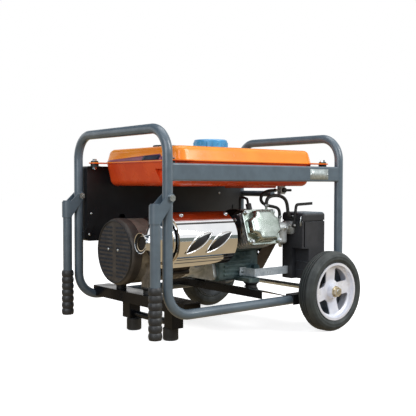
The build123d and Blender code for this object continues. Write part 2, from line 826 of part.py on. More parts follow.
# Rubber grommets in the ears
grommet_gap = 0.1
ear_bottom_z = seam_z - seam_t
ear_top_z = seam_z + seam_t
with BuildPart() as tank_grommets:
    for place in ear_places:
        with BuildSketch(Plane((place[0], place[1], 0), x_dir=(1, 0, 0), z_dir=(0, -1, 0))):
            with BuildLine():
                Polyline(
                    (bolt_d / 2 + grommet_gap, upper_rail_top_z + grommet_gap),
                    (grommet_d / 2, upper_rail_top_z + grommet_gap),
                    (grommet_d / 2, ear_bottom_z - grommet_gap),
                    (ear_hole_d / 2 - grommet_gap, ear_bottom_z - grommet_gap),
                    (ear_hole_d / 2 - grommet_gap, ear_top_z + grommet_gap),
                    (grommet_d / 2 - 1, ear_top_z + grommet_gap),
                    (grommet_d / 2 - 1, ear_top_z + grommet_lip),
                    (bolt_d / 2 + grommet_gap, ear_top_z + grommet_lip),
                    close=True,
                )
            make_face()
        revolve(axis=Axis((place[0], place[1], 0), (0, 0, 1)))
tank_grommets.part.label = "tank_grommets"
export_step(tank_grommets.part, "parts/tank_grommets.step")

# Tank bolts with a washer under the head and a nut under the tab
bolt_head_z = ear_top_z + grommet_lip + grommet_gap
nut_top_z = upper_rail_top_z - tab_t - grommet_gap
with BuildPart() as tank_bolts:
    for place in ear_places:
        with BuildSketch(Plane.XY.offset(nut_top_z - bolt_head_h - 2)):
            with Locations(place):
                Circle(bolt_d / 2)
        extrude(amount=bolt_head_z - nut_top_z + bolt_head_h + 2)
        with BuildSketch(Plane.XY.offset(bolt_head_z)):
            with Locations(place):
                Circle(grommet_d / 2 - 2)
        extrude(amount=1.5)
        with BuildSketch(Plane.XY.offset(bolt_head_z + 1.5)):
            with Locations(place):
                RegularPolygon(bolt_head_af / 2, 6, major_radius=False)
        extrude(amount=bolt_head_h)
        with BuildSketch(Plane.XY.offset(nut_top_z - bolt_head_h)):
            with Locations(place):
                RegularPolygon(bolt_head_af / 2, 6, major_radius=False)
        extrude(amount=bolt_head_h)
tank_bolts.part.label = "tank_bolts"
export_step(tank_bolts.part, "parts/tank_bolts.step")

# Control box: a tray between the far posts, open to +Y
box_left_x = left_x + tube_r + box_left_gap
box_right_x = right_x - tube_r - box_right_gap
box_mid_x = (box_left_x + box_right_x) / 2
box_l = box_right_x - box_left_x
box_h = upper_rail_top_z - box_bottom_z
box_mid_z = (upper_rail_top_z + box_bottom_z) / 2
box_front_y = box_back_y + box_depth
back_plane = Plane((box_mid_x, box_back_y, box_mid_z), x_dir=(1, 0, 0), z_dir=(0, -1, 0))
with BuildPart() as control_box:
    with BuildSketch(back_plane):
        RectangleRounded(box_l, box_h, box_r)
    extrude(amount=-box_depth)
    with BuildSketch(back_plane.offset(-box_wall)):
        RectangleRounded(box_l - 2 * box_wall, box_h - 2 * box_wall, box_r - box_wall)
    extrude(amount=-box_depth, mode=Mode.SUBTRACT)
    # Cable hole in the back
    with Locations((box_left_x + box_l * 0.2, box_back_y, box_bottom_z + box_h * 0.3)):
        Cylinder(cable_hole_d / 2, 4 * box_wall, rotation=(90, 0, 0), mode=Mode.SUBTRACT)
control_box.part.label = "control_box"
export_step(control_box.part, "parts/control_box.step")

# Front panel with the openings for what it carries, and the earth stud
panel_z = box_mid_z
panel_back_y = box_front_y - panel_t - 1
panel_face_y = panel_back_y + panel_t
panel_plane = Plane((box_mid_x, panel_back_y, box_mid_z), x_dir=(1, 0, 0), z_dir=(0, -1, 0))
socket_places = [(frame_x + socket_x, panel_z) for socket_x in socket_xs]
with BuildPart() as control_panel:
    with BuildSketch(panel_plane):
        RectangleRounded(
            box_l - 2 * box_wall - 2 * panel_gap,
            box_h - 2 * box_wall - 2 * panel_gap,
            box_r - box_wall - panel_gap,
        )
    extrude(amount=-panel_t)
    with Locations((frame_x + stud_x, panel_face_y, panel_z)):
        Cylinder(stud_d / 2, 2 * stud_l, rotation=(90, 0, 0))
        Cylinder(stud_d, stud_d, rotation=(90, 0, 0))
    with BuildSketch(Plane.XZ.offset(-panel_back_y)):
        with Locations(*socket_places):
            RectangleRounded(socket_body + 1, socket_body + 1, 4)
        with Locations((frame_x + meter_x, panel_z)):
            Circle(meter_d / 2 + 0.5)
        with Locations((frame_x + breaker_x, panel_z)):
            Circle(breaker_d / 2 + run_gap)
        with Locations((frame_x + switch_x, panel_z)):
            Circle(switch_shaft_d / 2 + run_gap)
    extrude(amount=-panel_t, mode=Mode.SUBTRACT)
control_panel.part.label = "control_panel"
export_step(control_panel.part, "parts/control_panel.step")

panel_seat_y = panel_face_y + weld_gap
with BuildPart() as power_sockets:
    for place in socket_places:
        with BuildSketch(Plane((place[0], panel_seat_y, place[1]), x_dir=(-1, 0, 0), z_dir=(0, 1, 0))):
            RectangleRounded(socket_flange, socket_flange, 7)
        extrude(amount=socket_rise)
        with BuildSketch(Plane((place[0], panel_seat_y, place[1]), x_dir=(-1, 0, 0), z_dir=(0, 1, 0))):
            RectangleRounded(socket_body, socket_body, 4)
        extrude(amount=-socket_depth)
        with BuildSketch(Plane((place[0], panel_seat_y + socket_rise, place[1]), x_dir=(-1, 0, 0), z_dir=(0, 1, 0))):
            Circle(socket_body * 0.36)
        extrude(amount=-2, mode=Mode.SUBTRACT)
        with BuildSketch(Plane((place[0], panel_seat_y + socket_rise, place[1]), x_dir=(-1, 0, 0), z_dir=(0, 1, 0))):
            with Locations((-9, 4), (9, 4), (0, -11)):
                Rectangle(3, 9)
        extrude(amount=-14, mode=Mode.SUBTRACT)
power_sockets.part.label = "power_sockets"
export_step(power_sockets.part, "parts/power_sockets.step")

with BuildPart() as voltmeter:
    with BuildSketch(Plane((frame_x + meter_x, panel_seat_y, panel_z), x_dir=(-1, 0, 0), z_dir=(0, 1, 0))):
        RectangleRounded(meter_d + 12, meter_d + 6, 4)
    extrude(amount=socket_rise)
    with BuildSketch(Plane((frame_x + meter_x, panel_seat_y, panel_z), x_dir=(-1, 0, 0), z_dir=(0, 1, 0))):
        Circle(meter_d / 2)
    extrude(amount=-socket_depth + 4)
voltmeter.part.label = "voltmeter"
export_step(voltmeter.part, "parts/voltmeter.step")

# Push-button breaker and rotary engine switch, each held by a collar behind the panel
breaker_travel = 4
with BuildPart() as breaker_button:
    with BuildSketch(Plane((frame_x + breaker_x, panel_back_y - 12, panel_z), z_dir=(0, 1, 0))):
        Circle(breaker_d / 2)
    extrude(amount=12 + panel_t + breaker_travel + 0.5)
    with BuildSketch(Plane((frame_x + breaker_x, panel_face_y + breaker_travel + 0.5, panel_z), z_dir=(0, 1, 0))):
        Circle(breaker_d / 2 + 4)
    extrude(amount=7)
    with BuildSketch(Plane((frame_x + breaker_x, panel_back_y - 0.3, panel_z), z_dir=(0, -1, 0))):
        Circle(breaker_d / 2 + 3)
    extrude(amount=3)
breaker_button.part.label = "breaker_button"
export_step(breaker_button.part, "parts/breaker_button.step")

with BuildPart() as engine_switch:
    with BuildSketch(Plane((frame_x + switch_x, panel_back_y - 10, panel_z), z_dir=(0, 1, 0))):
        Circle(switch_shaft_d / 2)
    extrude(amount=10 + panel_t + 0.3)
    with BuildSketch(Plane((frame_x + switch_x, panel_face_y + 0.3, panel_z), z_dir=(0, 1, 0))):
        Circle(switch_d / 2)
    extrude(amount=5)
    with BuildSketch(Plane((frame_x + switch_x, panel_face_y + 5, panel_z), z_dir=(0, 1, 0))):
        SlotOverall(switch_d - 2, switch_d / 3, rotation=90)
    extrude(amount=9)
    with BuildSketch(Plane((frame_x + switch_x, panel_back_y - 0.3, panel_z), z_dir=(0, -1, 0))):
        Circle(switch_shaft_d / 2 + 3)
    extrude(amount=3)
engine_switch.part.label = "engine_switch"
export_step(engine_switch.part, "parts/engine_switch.step")

# Braces from the far posts to the back of the control box
brace_y = box_back_y - weld_gap
with BuildPart() as panel_braces:
    for side in (-1, 1):
        post_x = frame_x + side * half_l
        lug_x = post_x - side * (tube_r - 4)
        box_x = post_x - side * brace_reach
        with BuildSketch(Plane.XZ.offset(-brace_y)):
            with BuildLine():
                Polyline(
                    (lug_x + side * brace_w / 3, brace_low_z),
                    (lug_x + side * brace_w / 3, brace_low_z + brace_w),
                    (box_x + side * brace_w / 2, brace_high_z),
                    (box_x - side * brace_w / 2, brace_high_z),
                    (box_x - side * brace_w / 2, brace_high_z - brace_w),
                    (lug_x - side * brace_w / 3, brace_low_z),
                    close=True,
                )
            make_face()
        extrude(amount=brace_t)
        with Locations((lug_x, brace_y - brace_t, brace_low_z)):
            Box(brace_w / 1.5, half_w - brace_y + brace_t, brace_w, align=(Align.CENTER, Align.MIN, Align.MIN))
        with Locations((post_x, half_w, brace_low_z)):
            Cylinder(tube_r + weld_gap, 8 * brace_w, mode=Mode.SUBTRACT)
        # The lug stops at the end of the control box
        with Locations((box_mid_x, brace_y, brace_low_z)):
            Box(box_l + 2 * weld_gap, box_depth, 8 * brace_w, align=(Align.CENTER, Align.MIN, Align.CENTER),
                mode=Mode.SUBTRACT)
panel_braces.part.label = "panel_braces"
export_step(panel_braces.part, "parts/panel_braces.step")

# Crank axis, cylinder direction and the places along the shaft
tilt = radians(cylinder_tilt)
shaft_r = shaft_d / 2
block_left_x = frame_x + block_x
block_right_x = block_left_x + block_length
front_bell_x = block_left_x - front_bell_l
stator_x = front_bell_x - stator_l
rear_bell_x = stator_x - rear_bell_l
end_cover_x = rear_bell_x - end_cover_l
blower_x = block_right_x + weld_gap
recoil_x = blower_x + blower_l + weld_gap
crank_axis = Axis((0, crank_y, crank_z), (1, 0, 0))


def cylinder_plane(distance):
    origin = (frame_x + head_x, crank_y - distance * cos(tilt), crank_z + distance * sin(tilt))
    return Plane(origin, x_dir=(1, 0, 0), z_dir=(0, -cos(tilt), sin(tilt)))


def crank_plane(x):
    return Plane((x, crank_y, crank_z), x_dir=(0, 1, 0), z_dir=(1, 0, 0))


# Crankcase and finned cylinder barrel in one casting
case_near_y = -75
rib_t = 5
rib_out = 6
chamber_wall = 22
with BuildPart() as engine_block:
    with BuildSketch(Plane.YZ.offset(block_left_x)) as case:
        with BuildLine():
            Polyline(
                (case_near_y, block_bottom_z),
                (crank_y + 65, block_bottom_z),
                (crank_y + 87, block_bottom_z + 28),
                (crank_y + 87, crank_z + 36),
                (crank_y + 55, crank_z + 80),
                (crank_y - 35, crank_z + 88),
                (crank_y - 90, crank_z + 62),
                (case_near_y, crank_z - 18),
                close=True,
            )
        make_face()
        fillet(case.vertices(), 11)
    extrude(amount=block_length)
    with BuildSketch(cylinder_plane(60)):
        RectangleRounded(head_fin_w - 28, head_fin_h - 22, 12)
    extrude(amount=head_start - 60)
    for fin in range(barrel_fins):
        with BuildSketch(cylinder_plane(barrel_start + fin * fin_pitch)):
            RectangleRounded(head_fin_w - 6, head_fin_h, 14)
        extrude(amount=fin_t)
    # Ribs on the near side of the crankcase
    for rib in range(case_ribs):
        with Locations((block_left_x + 18, case_near_y, block_bottom_z + 20 + rib * 13)):
            Box(block_length - 50, rib_out, rib_t, align=(Align.MIN, Align.MAX, Align.CENTER))
    # Foot bar across the bottom
    with BuildSketch(Plane.XY.offset(block_bottom_z)):
        with Locations((frame_x + front_mount_x, 0)):
            RectangleRounded(foot_bar_w, 2 * foot_bar_y, 10)
    extrude(amount=foot_bar_t)
    # Oil filler boss at the near lower corner
    with BuildSketch(Plane.XZ.offset(-case_near_y)):
        with Locations((block_right_x - 16, block_bottom_z + 34)):
            Circle(13)
    extrude(amount=14)
    # Crank chamber, cylinder bore and shaft bores
    with BuildSketch(crank_plane(block_left_x + chamber_wall)):
        Circle(chamber_d / 2)
    extrude(amount=block_length - 2 * chamber_wall, mode=Mode.SUBTRACT)
    with BuildSketch(cylinder_plane(0)):
        Circle(bore_d / 2)
    extrude(amount=head_start, mode=Mode.SUBTRACT)
    with BuildSketch(crank_plane(block_left_x)):
        Circle(shaft_r + run_gap)
    extrude(amount=block_length, mode=Mode.SUBTRACT)
engine_block.part.label = "engine_block"
export_step(engine_block.part, "parts/engine_block.step")

# Finned cylinder head with the exhaust and intake bosses
exhaust_y = crank_y - exhaust_d * cos(tilt)
exhaust_z = crank_z + exhaust_d * sin(tilt)
intake_y = crank_y - intake_d * cos(tilt)
intake_z = crank_z + intake_d * sin(tilt)
port_left_x = frame_x + head_x - head_fin_w / 2 - 8
port_right_x = frame_x + head_x + head_fin_w / 2 + 8
head_face = head_start + weld_gap
with BuildPart() as cylinder_head:
    with BuildSketch(cylinder_plane(head_face)):
        RectangleRounded(head_fin_w - 24, head_fin_h - 22, 12)
    extrude(amount=head_length)
    for fin in range(head_fins):
        with BuildSketch(cylinder_plane(head_face + fin * (head_length - fin_t) / (head_fins - 1))):
            RectangleRounded(head_fin_w, head_fin_h, 14)
        extrude(amount=fin_t)
    with BuildSketch(Plane((port_left_x, exhaust_y, exhaust_z), x_dir=(0, 1, 0), z_dir=(1, 0, 0))):
        Circle(header_d / 2 + 5)
    extrude(amount=head_fin_w / 2)
    with BuildSketch(Plane((port_right_x, intake_y, intake_z), x_dir=(0, 1, 0), z_dir=(-1, 0, 0))):
        Circle(carb_d / 2 + 2)
    extrude(amount=head_fin_w / 2)
    # Ports and combustion chamber
    with BuildSketch(Plane((port_left_x, exhaust_y, exhaust_z), x_dir=(0, 1, 0), z_dir=(1, 0, 0))):
        Circle(header_d / 2 - 4)
    extrude(amount=head_fin_w / 3, mode=Mode.SUBTRACT)
    with BuildSketch(Plane((port_right_x, intake_y, intake_z), x_dir=(0, 1, 0), z_dir=(-1, 0, 0))):
        Circle(throat_d / 2)
    extrude(amount=head_fin_w / 3, mode=Mode.SUBTRACT)
    # Spark plug hole in the top
    with Locations(Location(cylinder_plane(head_face + head_length / 2)) * Location((plug_x - head_x, 0, 0))):
        Cylinder(plug_d / 2 + run_gap, head_fin_h, rotation=(90, 0, 0), mode=Mode.SUBTRACT,
                 align=(Align.CENTER, Align.CENTER, Align.MAX))
cylinder_head.part.label = "cylinder_head"
export_step(cylinder_head.part, "parts/cylinder_head.step")

# Stamped valve cover: flange with corner bosses and a tapered eight-sided dome
cover_face = head_face + head_length + weld_gap
cylinder_axis = Axis((0, crank_y, crank_z), (0, -cos(tilt), sin(tilt)))
breather_y = crank_y - (cover_face + 13) * cos(tilt) + (cover_h / 2 - 8) * sin(tilt)
breather_z = crank_z + (cover_face + 13) * sin(tilt) + (cover_h / 2 - 8) * cos(tilt) + 12
with BuildPart() as valve_cover:
    with BuildSketch(cylinder_plane(cover_face)):
        RectangleRounded(cover_w, cover_h, 16)
    extrude(amount=cover_flange_t)
    with BuildSketch(cylinder_plane(cover_face)) as dome:
        Rectangle(cover_w - 16, cover_h - 12)
        chamfer(dome.vertices(), 26)
    extrude(amount=cover_rise, taper=13)
    fillet(valve_cover.faces().sort_by(cylinder_axis)[-1].edges(), 5)
    with BuildSketch(cylinder_plane(cover_face)):
        with GridLocations(cover_w - 22, cover_h - 20, 2, 2):
            Circle(9)
    extrude(amount=cover_flange_t + 5)
    with BuildSketch(cylinder_plane(cover_face)) as dome_inside:
        Rectangle(cover_w - 28, cover_h - 24)
        chamfer(dome_inside.vertices(), 24)
    extrude(amount=cover_rise - 5, taper=13, mode=Mode.SUBTRACT)
    # Breather spigot on top
    with BuildSketch(Plane((frame_x + breather_x, breather_y, breather_z), z_dir=(0, 0, -1))):
        Circle(breather_d / 2 - 1.5)
    extrude(amount=breather_stub)
valve_cover.part.label = "valve_cover"
export_step(valve_cover.part, "parts/valve_cover.step")

# Spark plug with its boot, square to the cylinder
up = (0, sin(tilt), cos(tilt))
plug_distance = head_face + head_length / 2
plug_root = (frame_x + plug_x, crank_y - plug_distance * cos(tilt), crank_z + plug_distance * sin(tilt))


def along_plug(height):
    return (plug_root[0], plug_root[1] + height * up[1], plug_root[2] + height * up[2])


def plug_plane(height):
    return Plane(along_plug(height), x_dir=(1, 0, 0), z_dir=up)


head_top = head_fin_h / 2
with BuildPart() as spark_plug:
    with BuildSketch(plug_plane(weld_gap)):
        Circle(plug_d / 2)
    extrude(amount=head_top)
    with BuildSketch(plug_plane(head_top + weld_gap)):
        RegularPolygon(plug_d * 0.75, 6, major_radius=False)
    extrude(amount=9)
    with BuildSketch(plug_plane(head_top + 9)):
        Circle(plug_d * 0.65)
    extrude(amount=boot_l)
spark_plug.part.label = "spark_plug"
export_step(spark_plug.part, "parts/spark_plug.step")

# Ignition lead from the boot over the engine to the blower housing
blower_r = blower_d / 2
boot_top = head_top + 9 + boot_l
lead_start = along_plug(boot_top + weld_gap)
lead_end = (blower_x + blower_l / 2, crank_y, crank_z + blower_r + weld_gap)
with BuildPart() as spark_lead:
    with BuildLine():
        FilletPolyline(
            lead_start,
            along_plug(boot_top + 16),
            (frame_x + 112, -38, lead_end[2] + 40),
            (lead_end[0], lead_end[1], lead_end[2] + 38),
            lead_end,
            radius=12,
        )
    with BuildSketch(Plane(lead_start, x_dir=(1, 0, 0), z_dir=up)):
        Circle(lead_d / 2)
    sweep()
spark_lead.part.label = "spark_lead"
export_step(spark_lead.part, "parts/spark_lead.step")

# Carburettor between the intake port and the air cleaner
air_left_x = frame_x + air_box_x
carb_left_x = port_right_x + weld_gap
carb_right_x = air_left_x - weld_gap
carb_l = carb_right_x - carb_left_x
bowl_x = carb_left_x + carb_l * 0.5
carb_r = carb_d / 2
inlet_x = bowl_x - 4
choke_x = carb_right_x - 16
choke_z = intake_z + 9
choke_y = intake_y - carb_r - choke_stand
intake_left = Plane((carb_left_x, intake_y, intake_z), x_dir=(0, 1, 0), z_dir=(1, 0, 0))
with BuildPart() as carburetor:
    with BuildSketch(intake_left):
        Circle(carb_r)
    extrude(amount=carb_l)
    for flange_offset in (0, carb_l - carb_flange_t):
        with BuildSketch(intake_left.offset(flange_offset)):
            RectangleRounded(2 * carb_r + 12, 2 * carb_r + 4, 8)
        extrude(amount=carb_flange_t)
    with BuildSketch(Plane((bowl_x, intake_y, intake_z), z_dir=(0, 0, -1))):
        Circle(bowl_d / 2)
    extrude(amount=bowl_drop)
    fillet(carburetor.faces().sort_by(Axis.Z)[0].edges(), 7)
    with BuildSketch(Plane((bowl_x, intake_y, intake_z - bowl_drop + 1), z_dir=(0, 0, -1))):
        RegularPolygon(6, 6, major_radius=False)
    extrude(amount=7)
    # Fuel spigot on top and the choke's pivot pin on the near side
    with BuildSketch(Plane((inlet_x, intake_y, intake_z), z_dir=(0, 0, 1))):
        Circle(hose_d / 2 - 1)
    extrude(amount=carb_r + inlet_rise)
    with BuildSketch(Plane((choke_x, intake_y, choke_z), z_dir=(0, -1, 0))):
        Circle(choke_pin_d / 2)
    extrude(amount=intake_y - choke_y + choke_t + 2)
    with BuildSketch(intake_left):
        Circle(throat_d / 2)
    extrude(amount=carb_l, mode=Mode.SUBTRACT)
carburetor.part.label = "carburetor"
export_step(carburetor.part, "parts/carburetor.step")

# Choke lever: turns on the carburettor's pin and reaches over the air cleaner
lever_r = 8
lever_w = 9
with BuildPart() as choke_lever:
    with BuildLine():
        lever_path = FilletPolyline(
            (choke_x, choke_y, choke_z),
            (choke_x + 12, choke_y, choke_z + lever_rise),
            (choke_x + 12 + lever_reach, choke_y, choke_z + lever_rise + 3),
            radius=10,
        )
    with BuildSketch(Plane(lever_path @ 0, x_dir=(0, 1, 0), z_dir=lever_path % 0)):
        Rectangle(choke_t, lever_w)
    sweep()
    with BuildSketch(Plane((choke_x, choke_y + choke_t / 2, choke_z), z_dir=(0, -1, 0))):
        Circle(lever_r)
    extrude(amount=choke_t)
    with BuildSketch(Plane((choke_x, choke_y + choke_t, choke_z), z_dir=(0, -1, 0))):
        Circle(choke_pin_d / 2 + run_gap)
    extrude(amount=2 * choke_t, mode=Mode.SUBTRACT)
choke_lever.part.label = "choke_lever"
export_step(choke_lever.part, "parts/choke_lever.step")

# Air cleaner: a tall box with a stepped near corner, and its lid above a groove
air_mid_x = air_left_x + air_box_l / 2
air_mid_y = air_box_y + air_box_w / 2
air_top_z = air_box_z + air_box_h
notch_l = 21
notch_w = 54
with BuildPart() as air_cleaner_base:
    with BuildSketch(Plane.XY.offset(air_box_z)):
        with Locations((air_mid_x, air_mid_y)):
            RectangleRounded(air_box_l, air_box_w, air_box_r)
    extrude(amount=air_box_h)
    with Locations((air_left_x, air_box_y, air_box_z)):
        Box(notch_l, notch_w, notch_h, align=(Align.MIN, Align.MIN, Align.MIN), mode=Mode.SUBTRACT)
    with Locations((air_mid_x, air_mid_y, air_box_z + notch_h + air_wall)):
        Box(air_box_l - 2 * air_wall, air_box_w - 2 * air_wall, air_box_h,
            align=(Align.CENTER, Align.CENTER, Align.MIN), mode=Mode.SUBTRACT)
    with Locations((air_left_x + air_box_l - air_wall, air_mid_y, air_box_z + air_wall)):
        Box(air_box_l - notch_l - 2 * air_wall, air_box_w - 2 * air_wall, air_box_h,
            align=(Align.MAX, Align.CENTER, Align.MIN), mode=Mode.SUBTRACT)
    # Way in to the carburettor
    with BuildSketch(Plane((air_left_x - 1, intake_y, intake_z), x_dir=(0, 1, 0), z_dir=(1, 0, 0))):
        Circle(throat_d / 2)
    extrude(amount=air_wall * 3, mode=Mode.SUBTRACT)
    # Raised bands round the lower box
    for band_z in (air_box_z + 24, air_box_z + 52):
        with BuildSketch(Plane.XY.offset(band_z)):
            with Locations((air_mid_x + notch_l / 2, air_mid_y)):
                RectangleRounded(air_box_l - notch_l + 4, air_box_w + 4, air_box_r)
                RectangleRounded(
                    air_box_l - notch_l - 2, air_box_w - 2, air_box_r - 3, mode=Mode.SUBTRACT
                )
        extrude(amount=5)
    with Locations((air_left_x, air_mid_y, air_box_z)):
        Box(20, 3 * air_box_w, notch_h, align=(Align.MAX, Align.CENTER, Align.MIN), mode=Mode.SUBTRACT)
air_cleaner_base.part.label = "air_cleaner_base"
export_step(air_cleaner_base.part, "parts/air_cleaner_base.step")

with BuildPart() as air_cleaner_cover:
    with BuildSketch(Plane.XY.offset(air_top_z + lid_gap)):
        with Locations((air_mid_x, air_mid_y)):
            RectangleRounded(air_box_l, air_box_w, air_box_r)
    extrude(amount=lid_h)
    fillet(air_cleaner_cover.faces().sort_by(Axis.Z)[-1].edges(), lid_edge_r)
    with BuildSketch(Plane.XY.offset(air_top_z + weld_gap)):
        with Locations((air_mid_x, air_mid_y)):
            RectangleRounded(air_box_l - 2 * groove_depth, air_box_w - 2 * groove_depth, air_box_r - groove_depth)
    extrude(amount=lid_gap)
    with BuildSketch(Plane.XY.offset(air_top_z + weld_gap)):
        with Locations((air_mid_x, air_mid_y)):
            RectangleRounded(air_box_l - 4 * groove_depth - 10, air_box_w - 4 * groove_depth - 10, 4)
    extrude(amount=lid_gap + lid_h - lid_wall, taper=20, mode=Mode.SUBTRACT)
air_cleaner_cover.part.label = "air_cleaner_cover"
export_step(air_cleaner_cover.part, "parts/air_cleaner_cover.step")

# Zinc strap from the air cleaner to the crankcase
strap_z = block_bottom_z + foot_bar_t + 3
strap_end_y = case_near_y - rib_out - weld_gap
strap_path_y = air_mid_y + 21
with BuildPart() as air_cleaner_bracket:
    with BuildSketch(Plane.XY.offset(strap_z)):
        with BuildLine():
            strap_line = Polyline(
                (air_left_x - weld_gap - strap_t / 2, strap_path_y + strap_w / 2),
                (air_left_x - weld_gap - strap_t / 2, strap_path_y),
                (frame_x + strap_x, strap_path_y),
                (frame_x + strap_x, strap_end_y),
            )
        trace(strap_line, line_width=strap_t)
        with Locations((frame_x + strap_x, strap_end_y)):
            Rectangle(strap_w, strap_w, align=(Align.CENTER, Align.MIN), mode=Mode.SUBTRACT)
        with Locations((frame_x + strap_x, strap_end_y)):
            Rectangle(strap_w, strap_t, align=(Align.CENTER, Align.MAX))
    extrude(amount=strap_w)
air_cleaner_bracket.part.label = "air_cleaner_bracket"
export_step(air_cleaner_bracket.part, "parts/air_cleaner_bracket.step")

# Fuel valve under the tank and its lever
valve_top_z = seam_z - lower_h - weld_gap
valve_mid_x = frame_x + valve_x
valve_axis_z = valve_top_z - valve_h / 2
spigot_x = valve_mid_x - valve_w / 2 - spigot_l
with BuildPart() as fuel_valve:
    with Locations((valve_mid_x, valve_y, valve_top_z)):
        Cylinder(valve_w * 0.65, 5, align=(Align.CENTER, Align.CENTER, Align.MAX))
    with BuildSketch(Plane.XY.offset(valve_top_z - valve_h)):
        with Locations((valve_mid_x, valve_y)):
            RectangleRounded(valve_w, valve_w, 3)
    extrude(amount=valve_h)
    with BuildSketch(Plane((valve_mid_x, valve_y, valve_axis_z), z_dir=(-1, 0, 0))):
        Circle(hose_d / 2 - 1)
    extrude(amount=valve_w / 2 + spigot_l)
    with Locations((valve_mid_x, valve_y, valve_axis_z)):
        Cylinder(valve_stem_d / 2 + run_gap, valve_w, rotation=(90, 0, 0), mode=Mode.SUBTRACT,
                 align=(Align.CENTER, Align.CENTER, Align.MIN))
fuel_valve.part.label = "fuel_valve"
export_step(fuel_valve.part, "parts/fuel_valve.step")

valve_face_y = valve_y - valve_w / 2
with BuildPart() as fuel_valve_lever:
    with BuildSketch(Plane((valve_mid_x, valve_y - 0.3, valve_axis_z), z_dir=(0, -1, 0))):
        Circle(valve_stem_d / 2)
    extrude(amount=valve_w / 2)
    with BuildSketch(Plane((valve_mid_x, valve_face_y - 0.3, valve_axis_z), x_dir=(1, 0, 0), z_dir=(0, -1, 0))) as knob:
        Circle(valve_stem_d)
        with Locations((valve_lever_l / 2, 0)):
            SlotOverall(valve_lever_l + valve_stem_d, valve_stem_d)
    extrude(amount=7)
fuel_valve_lever.part.label = "fuel_valve_lever"
export_step(fuel_valve_lever.part, "parts/fuel_valve_lever.step")

# Fuel hose from the valve to the carburettor, and breather hose from the valve cover to the air cleaner's lid
fuel_end = (inlet_x, intake_y, intake_z + carb_r + inlet_rise + weld_gap)
lid_mid_z = air_top_z + lid_gap + lid_h * 0.4
with BuildPart() as engine_hoses:
    with BuildLine():
        FilletPolyline(
            (spigot_x - weld_gap, valve_y, valve_axis_z),
            (frame_x + 100, valve_y, valve_axis_z - 2),
            (frame_x + 86, valve_y - 1, valve_axis_z - 36),
            (frame_x + 116, intake_y - 1, valve_axis_z - 47),
            (inlet_x, intake_y, fuel_end[2] + 28),
            fuel_end,
            radius=11,
        )
    with BuildSketch(Plane((spigot_x - weld_gap, valve_y, valve_axis_z), z_dir=(-1, 0, 0))):
        Circle(hose_d / 2)
    sweep()
    with BuildLine():
        FilletPolyline(
            (frame_x + breather_x, breather_y, breather_z + weld_gap),
            (frame_x + breather_x, breather_y, breather_z + 24),
            (frame_x + breather_x + 50, breather_y, breather_z + 32),
            (air_left_x - 26, breather_y, breather_z + 16),
            (air_left_x - 24, breather_y, lid_mid_z),
            (air_left_x - weld_gap, breather_y, lid_mid_z),
            radius=10,
        )
    with BuildSketch(Plane((frame_x + breather_x, breather_y, breather_z + weld_gap), z_dir=(0, 0, 1))):
        Circle(breather_d / 2)
    sweep()
engine_hoses.part.label = "engine_hoses"
export_step(engine_hoses.part, "parts/engine_hoses.step")

# Blower housing: a shell round the flywheel that reaches towards the cylinder
with BuildPart() as blower_housing:
    with BuildSketch(crank_plane(blower_x)):
        Circle(blower_r)
        with Locations((-105, 46)):
            Circle(blower_r / 2)
        make_hull()
    extrude(amount=blower_l)
    fillet(blower_housing.faces().sort_by(Axis.X)[-1].edges(), 2 * blower_wall)
    with BuildSketch(crank_plane(blower_x)):
        Circle(blower_r - blower_wall)
        with Locations((-105, 46)):
            Circle(blower_r / 2 - blower_wall)
        make_hull()
    extrude(amount=blower_l - blower_wall, mode=Mode.SUBTRACT)
    with BuildSketch(crank_plane(blower_x)):
        Circle(recoil_d / 2 - 22)
    extrude(amount=2 * blower_l, mode=Mode.SUBTRACT)
blower_housing.part.label = "blower_housing"
export_step(blower_housing.part, "parts/blower_housing.step")

# Recoil starter cover with vents and a rope guide towards +Y
recoil_r = recoil_d / 2
rope_x = recoil_x + recoil_l * 0.55
rope_z = crank_z + rope_rise
guide_end = crank_y + blower_r + 4
recoil_end_x = recoil_x + recoil_l
recoil_wall = 3
with BuildPart() as recoil_cover:
    with BuildSketch(Plane((0, crank_y, crank_z), x_dir=(1, 0, 0), z_dir=(0, -1, 0))) as recoil_profile:
        with BuildLine():
            Polyline(
                (recoil_x, recoil_r),
                (recoil_end_x - 10, recoil_r - 4),
                (recoil_end_x, recoil_r - 16),
                (recoil_end_x, 0),
                (recoil_end_x - recoil_wall, 0),
                (recoil_end_x - recoil_wall, recoil_r - 18),
                (recoil_end_x - 12, recoil_r - 7),
                (recoil_x, recoil_r - recoil_wall),
                close=True,
            )
        make_face()
    revolve(axis=crank_axis)
    with BuildSketch(Plane((rope_x, crank_y + recoil_r * 0.9, rope_z), z_dir=(0, 1, 0))):
        Circle(rope_d * 1.6)
    extrude(amount=guide_end - crank_y - recoil_r * 0.9)
    with BuildSketch(Plane((rope_x, crank_y + recoil_r * 0.5, rope_z), z_dir=(0, 1, 0))):
        Circle(rope_d / 2 + run_gap)
    extrude(amount=recoil_d, mode=Mode.SUBTRACT)
    with BuildSketch(crank_plane(recoil_x + recoil_l / 2)):
        with PolarLocations(recoil_r * 0.6, recoil_vents):
            SlotOverall(recoil_r * 0.4, 9)
    extrude(amount=recoil_l, mode=Mode.SUBTRACT)
recoil_cover.part.label = "recoil_cover"
export_step(recoil_cover.part, "parts/recoil_cover.step")

grip_y = guide_end + 0.3
with BuildPart() as recoil_grip:
    with BuildSketch(Plane((rope_x, grip_y + 4, rope_z), z_dir=(0, -1, 0))):
        Circle(rope_d / 2)
    extrude(amount=rope_length)
    with BuildSketch(Plane((rope_x, grip_y, rope_z), x_dir=(1, 0, 0), z_dir=(0, 1, 0))):
        SlotOverall(recoil_grip_l, recoil_grip_h)
    extrude(amount=recoil_grip_t)
    fillet(recoil_grip.faces().sort_by(Axis.Y)[-1].edges(), 3)
recoil_grip.part.label = "recoil_grip"
export_step(recoil_grip.part, "parts/recoil_grip.step")

